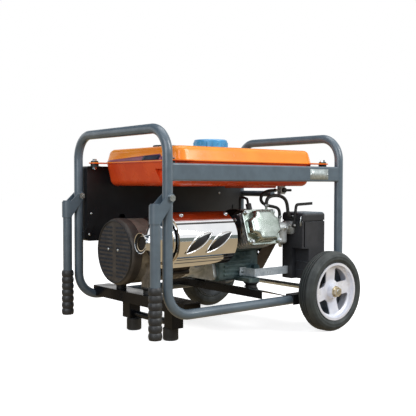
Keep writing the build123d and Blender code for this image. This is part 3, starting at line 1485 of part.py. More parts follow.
# Crankshaft: one shaft for engine, alternator, fan and flywheel, with its crank webs and pin
crank_left_x = rear_bell_x + 14
crank_right_x = blower_x + blower_l + 4
web_t = 16
web_gap = 34
web_mid_x = block_left_x + block_length / 2
with BuildPart() as crankshaft:
    with BuildSketch(crank_plane(crank_left_x)):
        Circle(shaft_r)
    extrude(amount=crank_right_x - crank_left_x)
    for web_side in (-1, 1):
        web_x = web_mid_x + web_side * (web_gap + web_t) / 2 - web_t / 2
        with BuildSketch(crank_plane(web_x)):
            Circle(chamber_d / 2 - 8)
            with Locations((0, chamber_d / 2)):
                Circle(chamber_d * 0.36, mode=Mode.SUBTRACT)
            with Locations((0, crank_throw)):
                Circle(shaft_r + 6)
            Circle(shaft_r + 4)
            make_hull()
        extrude(amount=web_t)
    with BuildSketch(crank_plane(web_mid_x - web_gap / 2 - 1)):
        Circle(shaft_r + 12)
    extrude(amount=web_gap + 2, mode=Mode.SUBTRACT)
    with BuildSketch(crank_plane(web_mid_x - web_gap / 2 - 1)):
        with Locations((0, crank_throw)):
            Circle(shaft_r)
    extrude(amount=web_gap + 2)
crankshaft.part.label = "crankshaft"
export_step(crankshaft.part, "parts/crankshaft.step")

# Flywheel with blower fins
flywheel_x = blower_x + 10
with BuildPart() as flywheel:
    with BuildSketch(crank_plane(flywheel_x)):
        Circle(flywheel_d / 2)
    extrude(amount=flywheel_t / 2)
    with BuildSketch(crank_plane(flywheel_x)):
        with PolarLocations(flywheel_d * 0.36, flywheel_fins):
            Rectangle(flywheel_d * 0.25, 4)
    extrude(amount=flywheel_t)
    with BuildSketch(crank_plane(flywheel_x)):
        Circle(shaft_r + 12)
    extrude(amount=flywheel_t)
    with BuildSketch(crank_plane(flywheel_x)):
        Circle(shaft_r + run_gap)
    extrude(amount=flywheel_t, mode=Mode.SUBTRACT)
flywheel.part.label = "flywheel"
export_step(flywheel.part, "parts/flywheel.step")

# Alternator: rotor, fan, stator, two bells and the slotted end cover
alternator_r = alternator_d / 2
rotor_r = stator_bore / 2 - air_gap
with BuildPart() as rotor_core:
    with BuildSketch(crank_plane(stator_x + 5)):
        Circle(rotor_r)
        Circle(shaft_r + run_gap, mode=Mode.SUBTRACT)
        with PolarLocations(rotor_r, 4):
            Rectangle(rotor_r * 0.7, 16, mode=Mode.SUBTRACT)
    extrude(amount=stator_l - 10)
rotor_core.part.label = "rotor_core"
export_step(rotor_core.part, "parts/rotor_core.step")

fan_x = front_bell_x + fan_inset
fan_r = alternator_r - bell_wall - 14
with BuildPart() as cooling_fan:
    with BuildSketch(crank_plane(fan_x)):
        Circle(fan_r)
    extrude(amount=3)
    with BuildSketch(crank_plane(fan_x)):
        with PolarLocations(fan_r * 0.72, fan_blades):
            Rectangle(fan_r * 0.5, 3, rotation=20)
    extrude(amount=fan_l)
    with BuildSketch(crank_plane(fan_x)):
        Circle(shaft_r + 9)
    extrude(amount=fan_l)
    with BuildSketch(crank_plane(fan_x)):
        Circle(shaft_r + run_gap)
    extrude(amount=fan_l, mode=Mode.SUBTRACT)
cooling_fan.part.label = "cooling_fan"
export_step(cooling_fan.part, "parts/cooling_fan.step")

with BuildPart() as stator:
    with BuildSketch(crank_plane(stator_x + weld_gap)):
        Circle(alternator_r)
        with PolarLocations(alternator_r, 4, start_angle=45):
            Circle(8)
        Circle(stator_bore / 2, mode=Mode.SUBTRACT)
        with PolarLocations(stator_bore / 2, stator_slots):
            Rectangle(24, 5, mode=Mode.SUBTRACT)
    extrude(amount=stator_l - 2 * weld_gap)
stator.part.label = "stator"
export_step(stator.part, "parts/stator.step")

bell_small_r = alternator_r - 12
bell_taper = degrees(asin((alternator_r - bell_small_r) / front_bell_l))
with BuildPart() as alternator_front_bell:
    with BuildSketch(crank_plane(front_bell_x)):
        Circle(alternator_r)
    extrude(amount=front_bell_l - weld_gap, taper=bell_taper)
    with BuildSketch(crank_plane(block_left_x - weld_gap - bell_flange_t)):
        Circle(bell_small_r)
        with Locations((-bell_lug_y, bell_lug_z - crank_z), (bell_lug_y, bell_lug_z - crank_z)):
            Circle(15)
        make_hull()
    extrude(amount=bell_flange_t)
    with BuildSketch(crank_plane(front_bell_x)):
        Circle(alternator_r - bell_wall)
    extrude(amount=front_bell_l, taper=bell_taper, mode=Mode.SUBTRACT)
    # Cooling windows round the middle
    with BuildSketch(Plane((front_bell_x + front_bell_l * 0.42, crank_y, crank_z), x_dir=(1, 0, 0), z_dir=(0, 0, 1))):
        SlotOverall(front_bell_l * 0.5, bell_window_w)
    extrude(amount=alternator_d, mode=Mode.SUBTRACT)
    for window_angle in (60, 120, 180, 240, 300):
        turn = radians(window_angle)
        outward = (0, sin(turn), cos(turn))
        with BuildSketch(Plane((front_bell_x + front_bell_l * 0.42, crank_y, crank_z), x_dir=(1, 0, 0), z_dir=outward)):
            SlotOverall(front_bell_l * 0.5, bell_window_w)
        extrude(amount=alternator_d, mode=Mode.SUBTRACT)
alternator_front_bell.part.label = "alternator_front_bell"
export_step(alternator_front_bell.part, "parts/alternator_front_bell.step")

rear_foot_x = frame_x + rear_member_x
rear_foot_l = 28
with BuildPart() as alternator_rear_bell:
    with BuildSketch(crank_plane(rear_bell_x)):
        Circle(alternator_r)
    extrude(amount=rear_bell_l)
    # Feet down to the rubber mounts
    with BuildSketch(Plane.YZ.offset(rear_foot_x - rear_foot_l / 2)):
        with Locations((crank_y - rear_mount_y, block_bottom_z), (crank_y + rear_mount_y, block_bottom_z)):
            Rectangle(rear_foot_w, crank_z - block_bottom_z, align=(Align.CENTER, Align.MIN))
    extrude(amount=rear_foot_l)
    with BuildSketch(crank_plane(rear_bell_x)):
        Circle(alternator_r - bell_wall)
    extrude(amount=rear_bell_l, mode=Mode.SUBTRACT)
    # Web with the bearing boss
    with BuildSketch(crank_plane(rear_bell_x + rear_bell_l * 0.6)):
        Circle(alternator_r - bell_wall / 2)
    extrude(amount=6)
    with BuildSketch(crank_plane(crank_left_x + 4)):
        Circle(shaft_r + 12)
    extrude(amount=rear_bell_x + rear_bell_l * 0.6 + 6 - crank_left_x)
    with BuildSketch(crank_plane(rear_bell_x + rear_bell_l * 0.5)):
        with PolarLocations((shaft_r + 12 + alternator_r) / 2 - 3, 6):
            Circle(20)
    extrude(amount=rear_bell_l, mode=Mode.SUBTRACT)
    with BuildSketch(crank_plane(rear_bell_x)):
        Circle(shaft_r + run_gap)
    extrude(amount=rear_bell_l, mode=Mode.SUBTRACT)
alternator_rear_bell.part.label = "alternator_rear_bell"
export_step(alternator_rear_bell.part, "parts/alternator_rear_bell.step")

end_cover_r = end_cover_d / 2
slot_circle = end_cover_r - 13
with BuildPart() as alternator_end_cover:
    with BuildSketch(crank_plane(rear_bell_x - weld_gap)):
        Circle(end_cover_r)
    extrude(amount=-end_cover_l)
    fillet(alternator_end_cover.faces().sort_by(Axis.X)[0].edges(), 12)
    with BuildSketch(crank_plane(rear_bell_x - weld_gap)):
        Circle(end_cover_r - cover_wall - 2)
    extrude(amount=-end_cover_l + cover_wall + 3, taper=15, mode=Mode.SUBTRACT)
    # Shallow dish in the face, crossed by two columns of slots
    with BuildSketch(crank_plane(end_cover_x)):
        Circle(slot_circle + 3)
    extrude(amount=3, taper=20, mode=Mode.SUBTRACT)
    with BuildSketch(crank_plane(end_cover_x)):
        for row in range(slot_rows):
            row_z = (row - (slot_rows - 1) / 2) * slot_pitch
            row_half = sqrt(slot_circle * slot_circle - row_z * row_z)
            for column in (-1, 1):
                with Locations((column * (row_half + slot_bar) / 2, row_z)):
                    SlotOverall(row_half - slot_bar, slot_h)
    extrude(amount=end_cover_l * 0.7, mode=Mode.SUBTRACT)
alternator_end_cover.part.label = "alternator_end_cover"
export_step(alternator_end_cover.part, "parts/alternator_end_cover.step")

# Rubber mounts: round ones under the alternator, wedge-cut ones on the front member's slope
with BuildPart() as rubber_mounts:
    for mount_side in (-1, 1):
        with BuildSketch(Plane.XY.offset(rear_member_top_z + weld_gap)):
            with Locations((rear_foot_x, crank_y + mount_side * rear_mount_y)):
                Circle(mount_d / 2)
        extrude(amount=block_bottom_z - rear_member_top_z - 2 * weld_gap)
        with BuildSketch(Plane.XY.offset(front_member_z)):
            with Locations((frame_x + front_mount_x, mount_side * mount_y)):
                Circle(mount_d / 2 + 2)
        extrude(amount=block_bottom_z - front_member_z - weld_gap)
    with BuildSketch(Plane.XZ.offset(-2 * half_w)):
        with BuildLine():
            Polyline(
                (frame_x + front_member_x + front_member_ridge, front_member_top_z + weld_gap),
                (frame_x + front_member_x + front_member_w + 8, front_member_z + weld_gap - 8 * front_slope),
                (frame_x + front_member_x + front_member_w, front_member_z - front_member_h),
                (frame_x + front_member_x - 8, front_member_z - front_member_h),
                (frame_x + front_member_x - 8, front_member_top_z + weld_gap),
                close=True,
            )
        make_face()
    extrude(amount=4 * half_w, mode=Mode.SUBTRACT)
rubber_mounts.part.label = "rubber_mounts"
export_step(rubber_mounts.part, "parts/rubber_mounts.step")

# Muffler with a domed end, tail pipe, header pipe and the studs that carry its guard
muffler_r = muffler_d / 2
muffler_left_x = frame_x + muffler_x
muffler_right_x = muffler_left_x + muffler_l
guard_r = guard_d / 2
guard_left_x = frame_x + guard_x
muffler_plane = Plane((muffler_left_x, muffler_y, muffler_z), x_dir=(0, 1, 0), z_dir=(1, 0, 0))
header_end_x = port_left_x - weld_gap
with BuildPart() as muffler:
    with BuildSketch(Plane((0, muffler_y, muffler_z), x_dir=(1, 0, 0), z_dir=(0, -1, 0))):
        with BuildLine():
            outline = Polyline(
                (muffler_left_x - dome_h, 0),
                (muffler_left_x - dome_h, muffler_r * 0.45),
                (muffler_left_x, muffler_r - 3),
                (muffler_left_x, muffler_r),
                (muffler_left_x + 9, muffler_r),
                (muffler_left_x + 12, muffler_r - 2.5),
                (muffler_right_x - 12, muffler_r - 2.5),
                (muffler_right_x - 9, muffler_r),
                (muffler_right_x, muffler_r),
                (muffler_right_x, muffler_r - 4),
                (muffler_right_x + dome_h, muffler_r * 0.5),
                (muffler_right_x + dome_h, 0),
                close=True,
            )
        make_face()
    revolve(axis=Axis((0, muffler_y, muffler_z), (1, 0, 0)))
    # Chamber inside
    with BuildSketch(muffler_plane.offset(8)):
        Circle(muffler_r - 5)
    extrude(amount=muffler_l - 16, mode=Mode.SUBTRACT)
    # Tail pipe, cut obliquely
    with BuildSketch(Plane((muffler_left_x + 7, tail_y, tail_z), x_dir=(0, 1, 0), z_dir=(-1, 0, 0))):
        Circle(tail_d / 2)
    extrude(amount=tail_l + 7)
    with BuildSketch(Plane((muffler_left_x + 14, tail_y, tail_z), x_dir=(0, 1, 0), z_dir=(-1, 0, 0))):
        Circle(tail_d / 2 - tail_wall)
    extrude(amount=tail_l + 20, mode=Mode.SUBTRACT)
    with BuildSketch(Plane((0, tail_y - tail_d, tail_z), x_dir=(1, 0, 0), z_dir=(0, 1, 0))):
        with BuildLine():
            Polyline(
                (muffler_left_x - tail_l - 1, tail_d),
                (muffler_left_x - tail_l - 1, -tail_d),
                (muffler_left_x - tail_l + 14, -tail_d),
                (muffler_left_x - tail_l, tail_d),
                close=True,
            )
        make_face()
    extrude(amount=2 * tail_d, mode=Mode.SUBTRACT)
    # Header pipe and its flange at the port
    with BuildSketch(Plane((muffler_right_x - 7, exhaust_y, exhaust_z), x_dir=(0, 1, 0), z_dir=(1, 0, 0))):
        Circle(header_d / 2)
    extrude(amount=header_end_x - muffler_right_x + 7)
    with BuildSketch(Plane((header_end_x, exhaust_y, exhaust_z), x_dir=(0, 1, 0), z_dir=(-1, 0, 0))):
        with Locations((0, -header_d), (0, header_d)):
            Circle(9)
        Circle(header_d / 2 + 6)
        make_hull()
    extrude(amount=7)
    with BuildSketch(Plane((header_end_x + 1, exhaust_y, exhaust_z), x_dir=(0, 1, 0), z_dir=(-1, 0, 0))):
        Circle(header_d / 2 - 4)
    extrude(amount=header_end_x - muffler_right_x + 14, mode=Mode.SUBTRACT)
    # Guard studs near the top and the bottom
    for stud_angle in (-stud_turn, stud_turn):
        turn = radians(stud_angle)
        outward = (0, -cos(turn), sin(turn))
        for stud_at in (guard_left_x + 26, guard_left_x + guard_l - 26):
            root = (stud_at, muffler_y + (muffler_r - 4) * outward[1], muffler_z + (muffler_r - 4) * outward[2])
            with BuildSketch(Plane(root, x_dir=(1, 0, 0), z_dir=outward)):
                Circle(7)
            extrude(amount=guard_r - guard_t - muffler_r + 4 - 3 * weld_gap)
muffler.part.label = "muffler"
export_step(muffler.part, "parts/muffler.step")

# Heat guard: an open shell round the near side of the muffler with two slanted leaf openings
with BuildPart() as muffler_guard:
    with BuildSketch(Plane((guard_left_x, muffler_y, muffler_z), x_dir=(0, 1, 0), z_dir=(1, 0, 0))):
        Circle(guard_r)
        Circle(guard_r - guard_t, mode=Mode.SUBTRACT)
        with Locations((guard_r * sin(radians(guard_half_angle - 90)), 0)):
            Rectangle(guard_d, 2 * guard_d, align=(Align.MIN, Align.CENTER), mode=Mode.SUBTRACT)
    extrude(amount=guard_l)
    # Folded ends, which stop short of the muffler
    for end_x in (guard_left_x, guard_left_x + guard_l - guard_t):
        with BuildSketch(Plane((end_x, muffler_y, muffler_z), x_dir=(0, 1, 0), z_dir=(1, 0, 0))):
            Circle(guard_r)
            Circle(guard_r - guard_fold, mode=Mode.SUBTRACT)
            with Locations((guard_r * sin(radians(guard_half_angle - 90)), 0)):
                Rectangle(guard_d, 2 * guard_d, align=(Align.MIN, Align.CENTER), mode=Mode.SUBTRACT)
        extrude(amount=guard_t)
    for leaf_start in leaf_starts:
        low = (guard_left_x + leaf_start, muffler_z + leaf_low)
        high = (guard_left_x + leaf_start + leaf_run, muffler_z + leaf_low + leaf_rise)
        middle = ((low[0] + high[0]) / 2, (low[1] + high[1]) / 2)
        leaf_length = sqrt(leaf_run * leaf_run + leaf_rise * leaf_rise)
        across = (-leaf_rise / leaf_length * leaf_w / 2, leaf_run / leaf_length * leaf_w / 2)
        with BuildSketch(Plane.XZ.offset(-muffler_y + guard_d)):
            with BuildLine():
                ThreePointArc(low, (middle[0] + across[0], middle[1] + across[1]), high)
                ThreePointArc(high, (middle[0] - across[0], middle[1] - across[1]), low)
            make_face()
        extrude(amount=-guard_d, mode=Mode.SUBTRACT)
muffler_guard.part.label = "muffler_guard"
export_step(muffler_guard.part, "parts/muffler_guard.step")
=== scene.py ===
import math

import bmesh
import bpy
from mathutils import Matrix, Vector


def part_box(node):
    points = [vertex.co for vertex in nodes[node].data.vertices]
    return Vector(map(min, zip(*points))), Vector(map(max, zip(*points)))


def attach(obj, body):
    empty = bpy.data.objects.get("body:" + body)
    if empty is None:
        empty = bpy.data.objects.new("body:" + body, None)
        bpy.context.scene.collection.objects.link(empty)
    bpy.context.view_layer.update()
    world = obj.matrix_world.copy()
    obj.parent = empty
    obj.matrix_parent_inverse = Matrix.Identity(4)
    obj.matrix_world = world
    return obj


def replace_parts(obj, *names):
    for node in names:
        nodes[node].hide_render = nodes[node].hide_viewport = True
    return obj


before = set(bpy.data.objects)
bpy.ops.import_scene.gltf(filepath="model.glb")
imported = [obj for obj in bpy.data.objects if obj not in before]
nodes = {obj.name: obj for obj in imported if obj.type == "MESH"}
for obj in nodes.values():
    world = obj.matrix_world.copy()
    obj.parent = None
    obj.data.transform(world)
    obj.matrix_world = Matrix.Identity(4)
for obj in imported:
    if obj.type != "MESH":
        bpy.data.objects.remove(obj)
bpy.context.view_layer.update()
scene = bpy.context.scene
print("stage: frame loaded,", len(nodes), "nodes")

mm = 0.001
tiny = 1e-6  # metres; points closer than this are one


def at(x, y, z):
    # a place given in millimetres
    return Vector((x, y, z)) * mm


def hexToLinear(code):
    # sRGB hex to the linear values that Blender's sockets take
    channels = [int(code[i:i + 2], 16) / 255 for i in (1, 3, 5)]
    linear = [c / 12.92 if c <= 0.04045 else ((c + 0.055) / 1.055) ** 2.4 for c in channels]
    return (*linear, 1.0)


def addNode(tree, kind, settings=None, links=None):
    # one node with its settings (sockets or properties) and the links that go into it
    node = tree.nodes.new(kind)
    for key, value in (settings or {}).items():
        if isinstance(key, int) or key in node.inputs:
            node.inputs[key].default_value = value
        else:
            setattr(node, key, value)
    for key, source in (links or {}).items():
        tree.links.new(source, node.inputs[key])
    return node


def bareMaterial(name):
    material = bpy.data.materials.new(name)
    material.use_nodes = True
    material.node_tree.nodes.clear()
    return material


def linked(name, data):
    # an object in the scene
    holder = bpy.data.objects.new(name, data)
    scene.collection.objects.link(holder)
    return holder


# Finishes: light and dark are the two colours that the mottling runs between, mottleMm is the
# size of its patches, grainMm and depthMm are the fine texture, all in real millimetres.
# Optional: dust and sheen (colour, share) on faces that look up, real dust on most finishes and a
# painted highlight on the cap and the air cleaner; streak (axis, long, wide, share) for rolled or
# brushed lines, bands (axis, pitch, share) for stacked sheets, rings (centre, pitch) round a wheel,
# holes (pitch, colour) for perforation, painted near black as their shade, heat (centre, reach, colour)
# for scorched metal
finishes = {
    # powder coat on steel tube: satin slate grey with a fine orange peel and dust on top
    "powderCoatSlate": dict(light="#5f6f7b", dark="#51606c", rough=(0.28, 0.4), mottleMm=45,
        grainMm=1.6, depthMm=0.05, coat=0.4, dustAndSheen=("#7f8a92", 0.08)),
    # black oven paint on pressed steel: satin, a little dusty
    "ovenPaintBlack": dict(light="#191c20", dark="#101216", rough=(0.36, 0.5), mottleMm=60, grainMm=1.8,
        depthMm=0.05, dustAndSheen=("#4b4a48", 0.22)),
    # black gloss paint, sprayed on the cross members: deep, faintly blue
    "glossPaintBlack": dict(light="#0e1117", dark="#08090d", rough=(0.22, 0.34), mottleMm=50,
        grainMm=1.8, depthMm=0.03, specular=0.2),
    # orange enamel on the pressed tank: deep gloss under a clear coat
    "enamelOrange": dict(light="#ff9c2c", dark="#ff8d1c", rough=(0.22, 0.28), mottleMm=90, grainMm=2.2,
        depthMm=0.02, coat=0.3, specular=0.35),
    # the tank's lower pressing: the same enamel in a redder, darker copy that paints the shade on its
    # down-facing sides
    "enamelOrangeShaded": dict(light="#e85523", dark="#da471a", rough=(0.24, 0.32), mottleMm=60,
        grainMm=2.2, depthMm=0.02, coat=0.25, specular=0.35),
    # blue polypropylene, injection moulded: soft gloss with faint flow marks, and a pale cyan painted
    # highlight on faces that look up
    "polypropyleneBlue": dict(light="#4aa6de", dark="#3590cc", rough=(0.3, 0.42), mottleMm=25,
        grainMm=0.8, depthMm=0.03, coat=0.3, dustAndSheen=("#9fd0e4", 0.3)),
    # polished chrome plate on sheet steel: a mirror with faint haze
    "chromePlate": dict(light="#f1f2f4", dark="#e3e6e9", rough=(0.03, 0.07), mottleMm=60, grainMm=14,
        depthMm=0.012, metal=1.0),
    # aluminised exhaust steel: warm, dulled and browned by heat near the ports
    "aluminisedSteel": dict(light="#c9b99f", dark="#a08d73", rough=(0.2, 0.36), mottleMm=40,
        grainMm=1.5, depthMm=0.03, metal=1.0, heat=((0.01, -0.145, 0.316), 0.12, "#6a5140")),
    # pressure die-cast aluminium: pale grey, blasted skin
    "dieCastAluminium": dict(light="#dadedf", dark="#b2b8ba", rough=(0.34, 0.5), mottleMm=22,
        grainMm=1.2, depthMm=0.12, metal=0.6),
    # sand-cast aluminium of the crankcase in grey-green engine paint, mottled in light and dark patches
    "sandCastAluminium": dict(light="#7f9292", dark="#3f555b", rough=(0.28, 0.46), mottleMm=34,
        grainMm=1.3, depthMm=0.14, metal=0.6),
    # aged cast aluminium of the alternator: dull grey with baked dust
    "agedCastAluminium": dict(light="#a8a49b", dark="#77736c", rough=(0.42, 0.58), mottleMm=26,
        grainMm=1.2, depthMm=0.14, metal=0.7, dustAndSheen=("#8d8678", 0.3)),
    # plated pressed steel of the valve cover: bright satin with a clean sheen
    "platedPressedSteel": dict(light="#bcc6c1", dark="#949f98", rough=(0.18, 0.28), mottleMm=30,
        grainMm=1.1, depthMm=0.04, metal=0.95, streak=("x", 40, 1.2, 0.12)),
    # pale blue zinc on the air cleaner's strap, drawn pale and barely metallic so that it stays bright
    # in the engine's shade: a painted reflection
    "zincPaintedReflection": dict(light="#dbe4ea", dark="#b7c3cb", rough=(0.26, 0.38), mottleMm=14, grainMm=0.8,
        depthMm=0.03, metal=0.3),
    # zinc plate on small steel parts: bluish silver
    "zincPlate": dict(light="#d6dbdd", dark="#a9b1b5", rough=(0.2, 0.34), mottleMm=8, grainMm=0.7,
        depthMm=0.03, metal=1.0),
    # yellow passivated zinc on wheel nuts and drain bolt: pale straw
    "yellowZinc": dict(light="#d5cdb8", dark="#a89c80", rough=(0.26, 0.4), mottleMm=7, grainMm=0.7,
        depthMm=0.03, metal=0.55),
    # black ABS with a spark-eroded texture
    "absBlack": dict(light="#1d1e20", dark="#121315", rough=(0.38, 0.52), mottleMm=35, grainMm=0.9,
        depthMm=0.07, dustAndSheen=("#4a4a4a", 0.25)),
    # moulded polypropylene of the air cleaner: charcoal, faintly blue, with a pale blue-grey painted
    # highlight on faces that look up
    "polypropyleneCharcoal": dict(light="#34363b", dark="#26282c", rough=(0.4, 0.54), mottleMm=40,
        grainMm=1.0, depthMm=0.07, dustAndSheen=("#8da0ad", 0.5)),
    # moulded polyamide of the end cover: brown-black, baked by warm air
    "polyamideBrown": dict(light="#433e39", dark="#302c29", rough=(0.5, 0.64), mottleMm=30, grainMm=1.0,
        depthMm=0.09),
    # heat paint on the blower shroud: brown-black, dull
    "heatPaintBrown": dict(light="#4a3d36", dark="#342a26", rough=(0.4, 0.55), mottleMm=40, grainMm=1.8,
        depthMm=0.06),
    # vulcanised rubber of feet, mounts and hoses: matt black
    "rubberBlack": dict(light="#191a1b", dark="#101112", rough=(0.5, 0.66), mottleMm=18, grainMm=1.4,
        depthMm=0.08),
    # soft PVC of the grips: matt charcoal
    "pvcCharcoal": dict(light="#2d3033", dark="#1f2124", rough=(0.42, 0.56), mottleMm=20, grainMm=1.0,
        depthMm=0.08),
    # solid tyre rubber: dry dark grey with moulded rings on the wall and dust
    "tyreRubber": dict(light="#3b4242", dark="#2a3032", rough=(0.58, 0.74), mottleMm=30, grainMm=1.6,
        depthMm=0.2, rings=((0.259, 0.0, 0.124), 9.5), bands=("Y", 11, 0.6), dustAndSheen=("#6d706c", 0.3)),
    # silver enamel on the pressed wheel: pale with a pearly sheen
    "enamelSilver": dict(light="#f0f3fb", dark="#dde2f0", rough=(0.26, 0.36), mottleMm=40, grainMm=1.8,
        depthMm=0.03, metal=0.1, coat=0.3),
    # soot inside the tail pipe: dead black with a brown bloom, and a black disc across the pipe that
    # paints the shade of its depth
    "sootAndShadeBlack": dict(light="#171413", dark="#0b0a0a", rough=(0.7, 0.85), mottleMm=14, grainMm=1.2,
        depthMm=0.1),
    # blue-black painted shade, laid on the end cover's face for the depth of its air slots
    "slotPaintedShade": dict(light="#16202e", dark="#0c131d", rough=(0.55, 0.7), mottleMm=12,
        grainMm=1.0, depthMm=0.05),
    # slate colour on the wheel's inner disc: painted shade inside the rim
    "slateDiscPaintedShade": dict(light="#3f4b55", dark="#2d3740", rough=(0.36, 0.5), mottleMm=30, grainMm=1.8,
        depthMm=0.04),
    # ground steel shaft: bright, with fine lines round it
    "groundSteel": dict(light="#b9bcc0", dark="#94979c", rough=(0.18, 0.3), mottleMm=14, grainMm=0.6,
        depthMm=0.02, metal=1.0, streak=("x", 1, 30, 0.15)),
    # varnished laminations: a brown-black stack of thin sheets
    "laminatedSteel": dict(light="#3a3430", dark="#221e1c", rough=(0.36, 0.56), mottleMm=12,
        grainMm=1.0, depthMm=0.1, metal=0.4, bands=("X", 3.2, 0.5)),
    # plum vinyl film on the tank's end: smooth with a soft gloss
    "vinylPlum": dict(light="#8f4a63", dark="#7d3e57", rough=(0.28, 0.36), mottleMm=60, grainMm=2.0,
        depthMm=0.01, coat=0.3),
    # blank plate of doming resin: deep blue, almost black
    "resinNavy": dict(light="#1b2b48", dark="#121d33", rough=(0.3, 0.4), mottleMm=30, grainMm=1.5,
        depthMm=0.01, specular=0.25),
    # blank plate of brushed aluminium foil: pale with fine lines
    "brushedAluminium": dict(light="#bfc8c8", dark="#9fa9a9", rough=(0.3, 0.42), mottleMm=9,
        grainMm=0.8, depthMm=0.02, metal=0.5, streak=("x", 30, 0.8, 0.25)),
    # perforated steel behind the guard's openings, blackened; its holes are painted near black as their
    # shade and drawn coarse to show
    "perforatedSteel": dict(light="#24252b", dark="#191a1e", rough=(0.4, 0.55), mottleMm=20,
        grainMm=2.0, depthMm=0.1, metal=0.3, holes=(4.2, "#050507")),
    # printed card of the dials: matt warm white
    "printedCard": dict(light="#eceae2", dark="#e0ddd3", rough=(0.5, 0.6), mottleMm=12, grainMm=0.6,
        depthMm=0.01),
    # printing ink on the pointers: flat red
    "printInkRed": dict(light="#c8261c", dark="#b01d15", rough=(0.4, 0.5), mottleMm=8, grainMm=0.6,
        depthMm=0.01),
}

# Settings that all finishes share, as the nodes take them; depths are multiples of the grain's
shared = {"coarse": {"Detail": 3.0}, "fine": {"Detail": 2.0},
    "patches": {"From Min": 0.35, "From Max": 0.65}, "streaks": {"From Min": 0.4, "From Max": 0.7},
    "dustAndSheen": {"From Min": 0.45, "From Max": 1.0}, "paintedHoleShade": {"From Min": 0.3, "From Max": 0.42,
        "To Min": 1.0, "To Max": 0.0}, "scorched": {"To Min": 0.9, "To Max": 0.0},
    "bump": {"Strength": 0.5}, "coat": {"Coat Roughness": 0.06}, "bandDepth": 6.0, "ringDepth": 9.0}


def waveScale(pitchMm):
    # Blender's wave texture runs 20 radians for each unit of its scale
    return 2 * math.pi / (20 * pitchMm * mm)


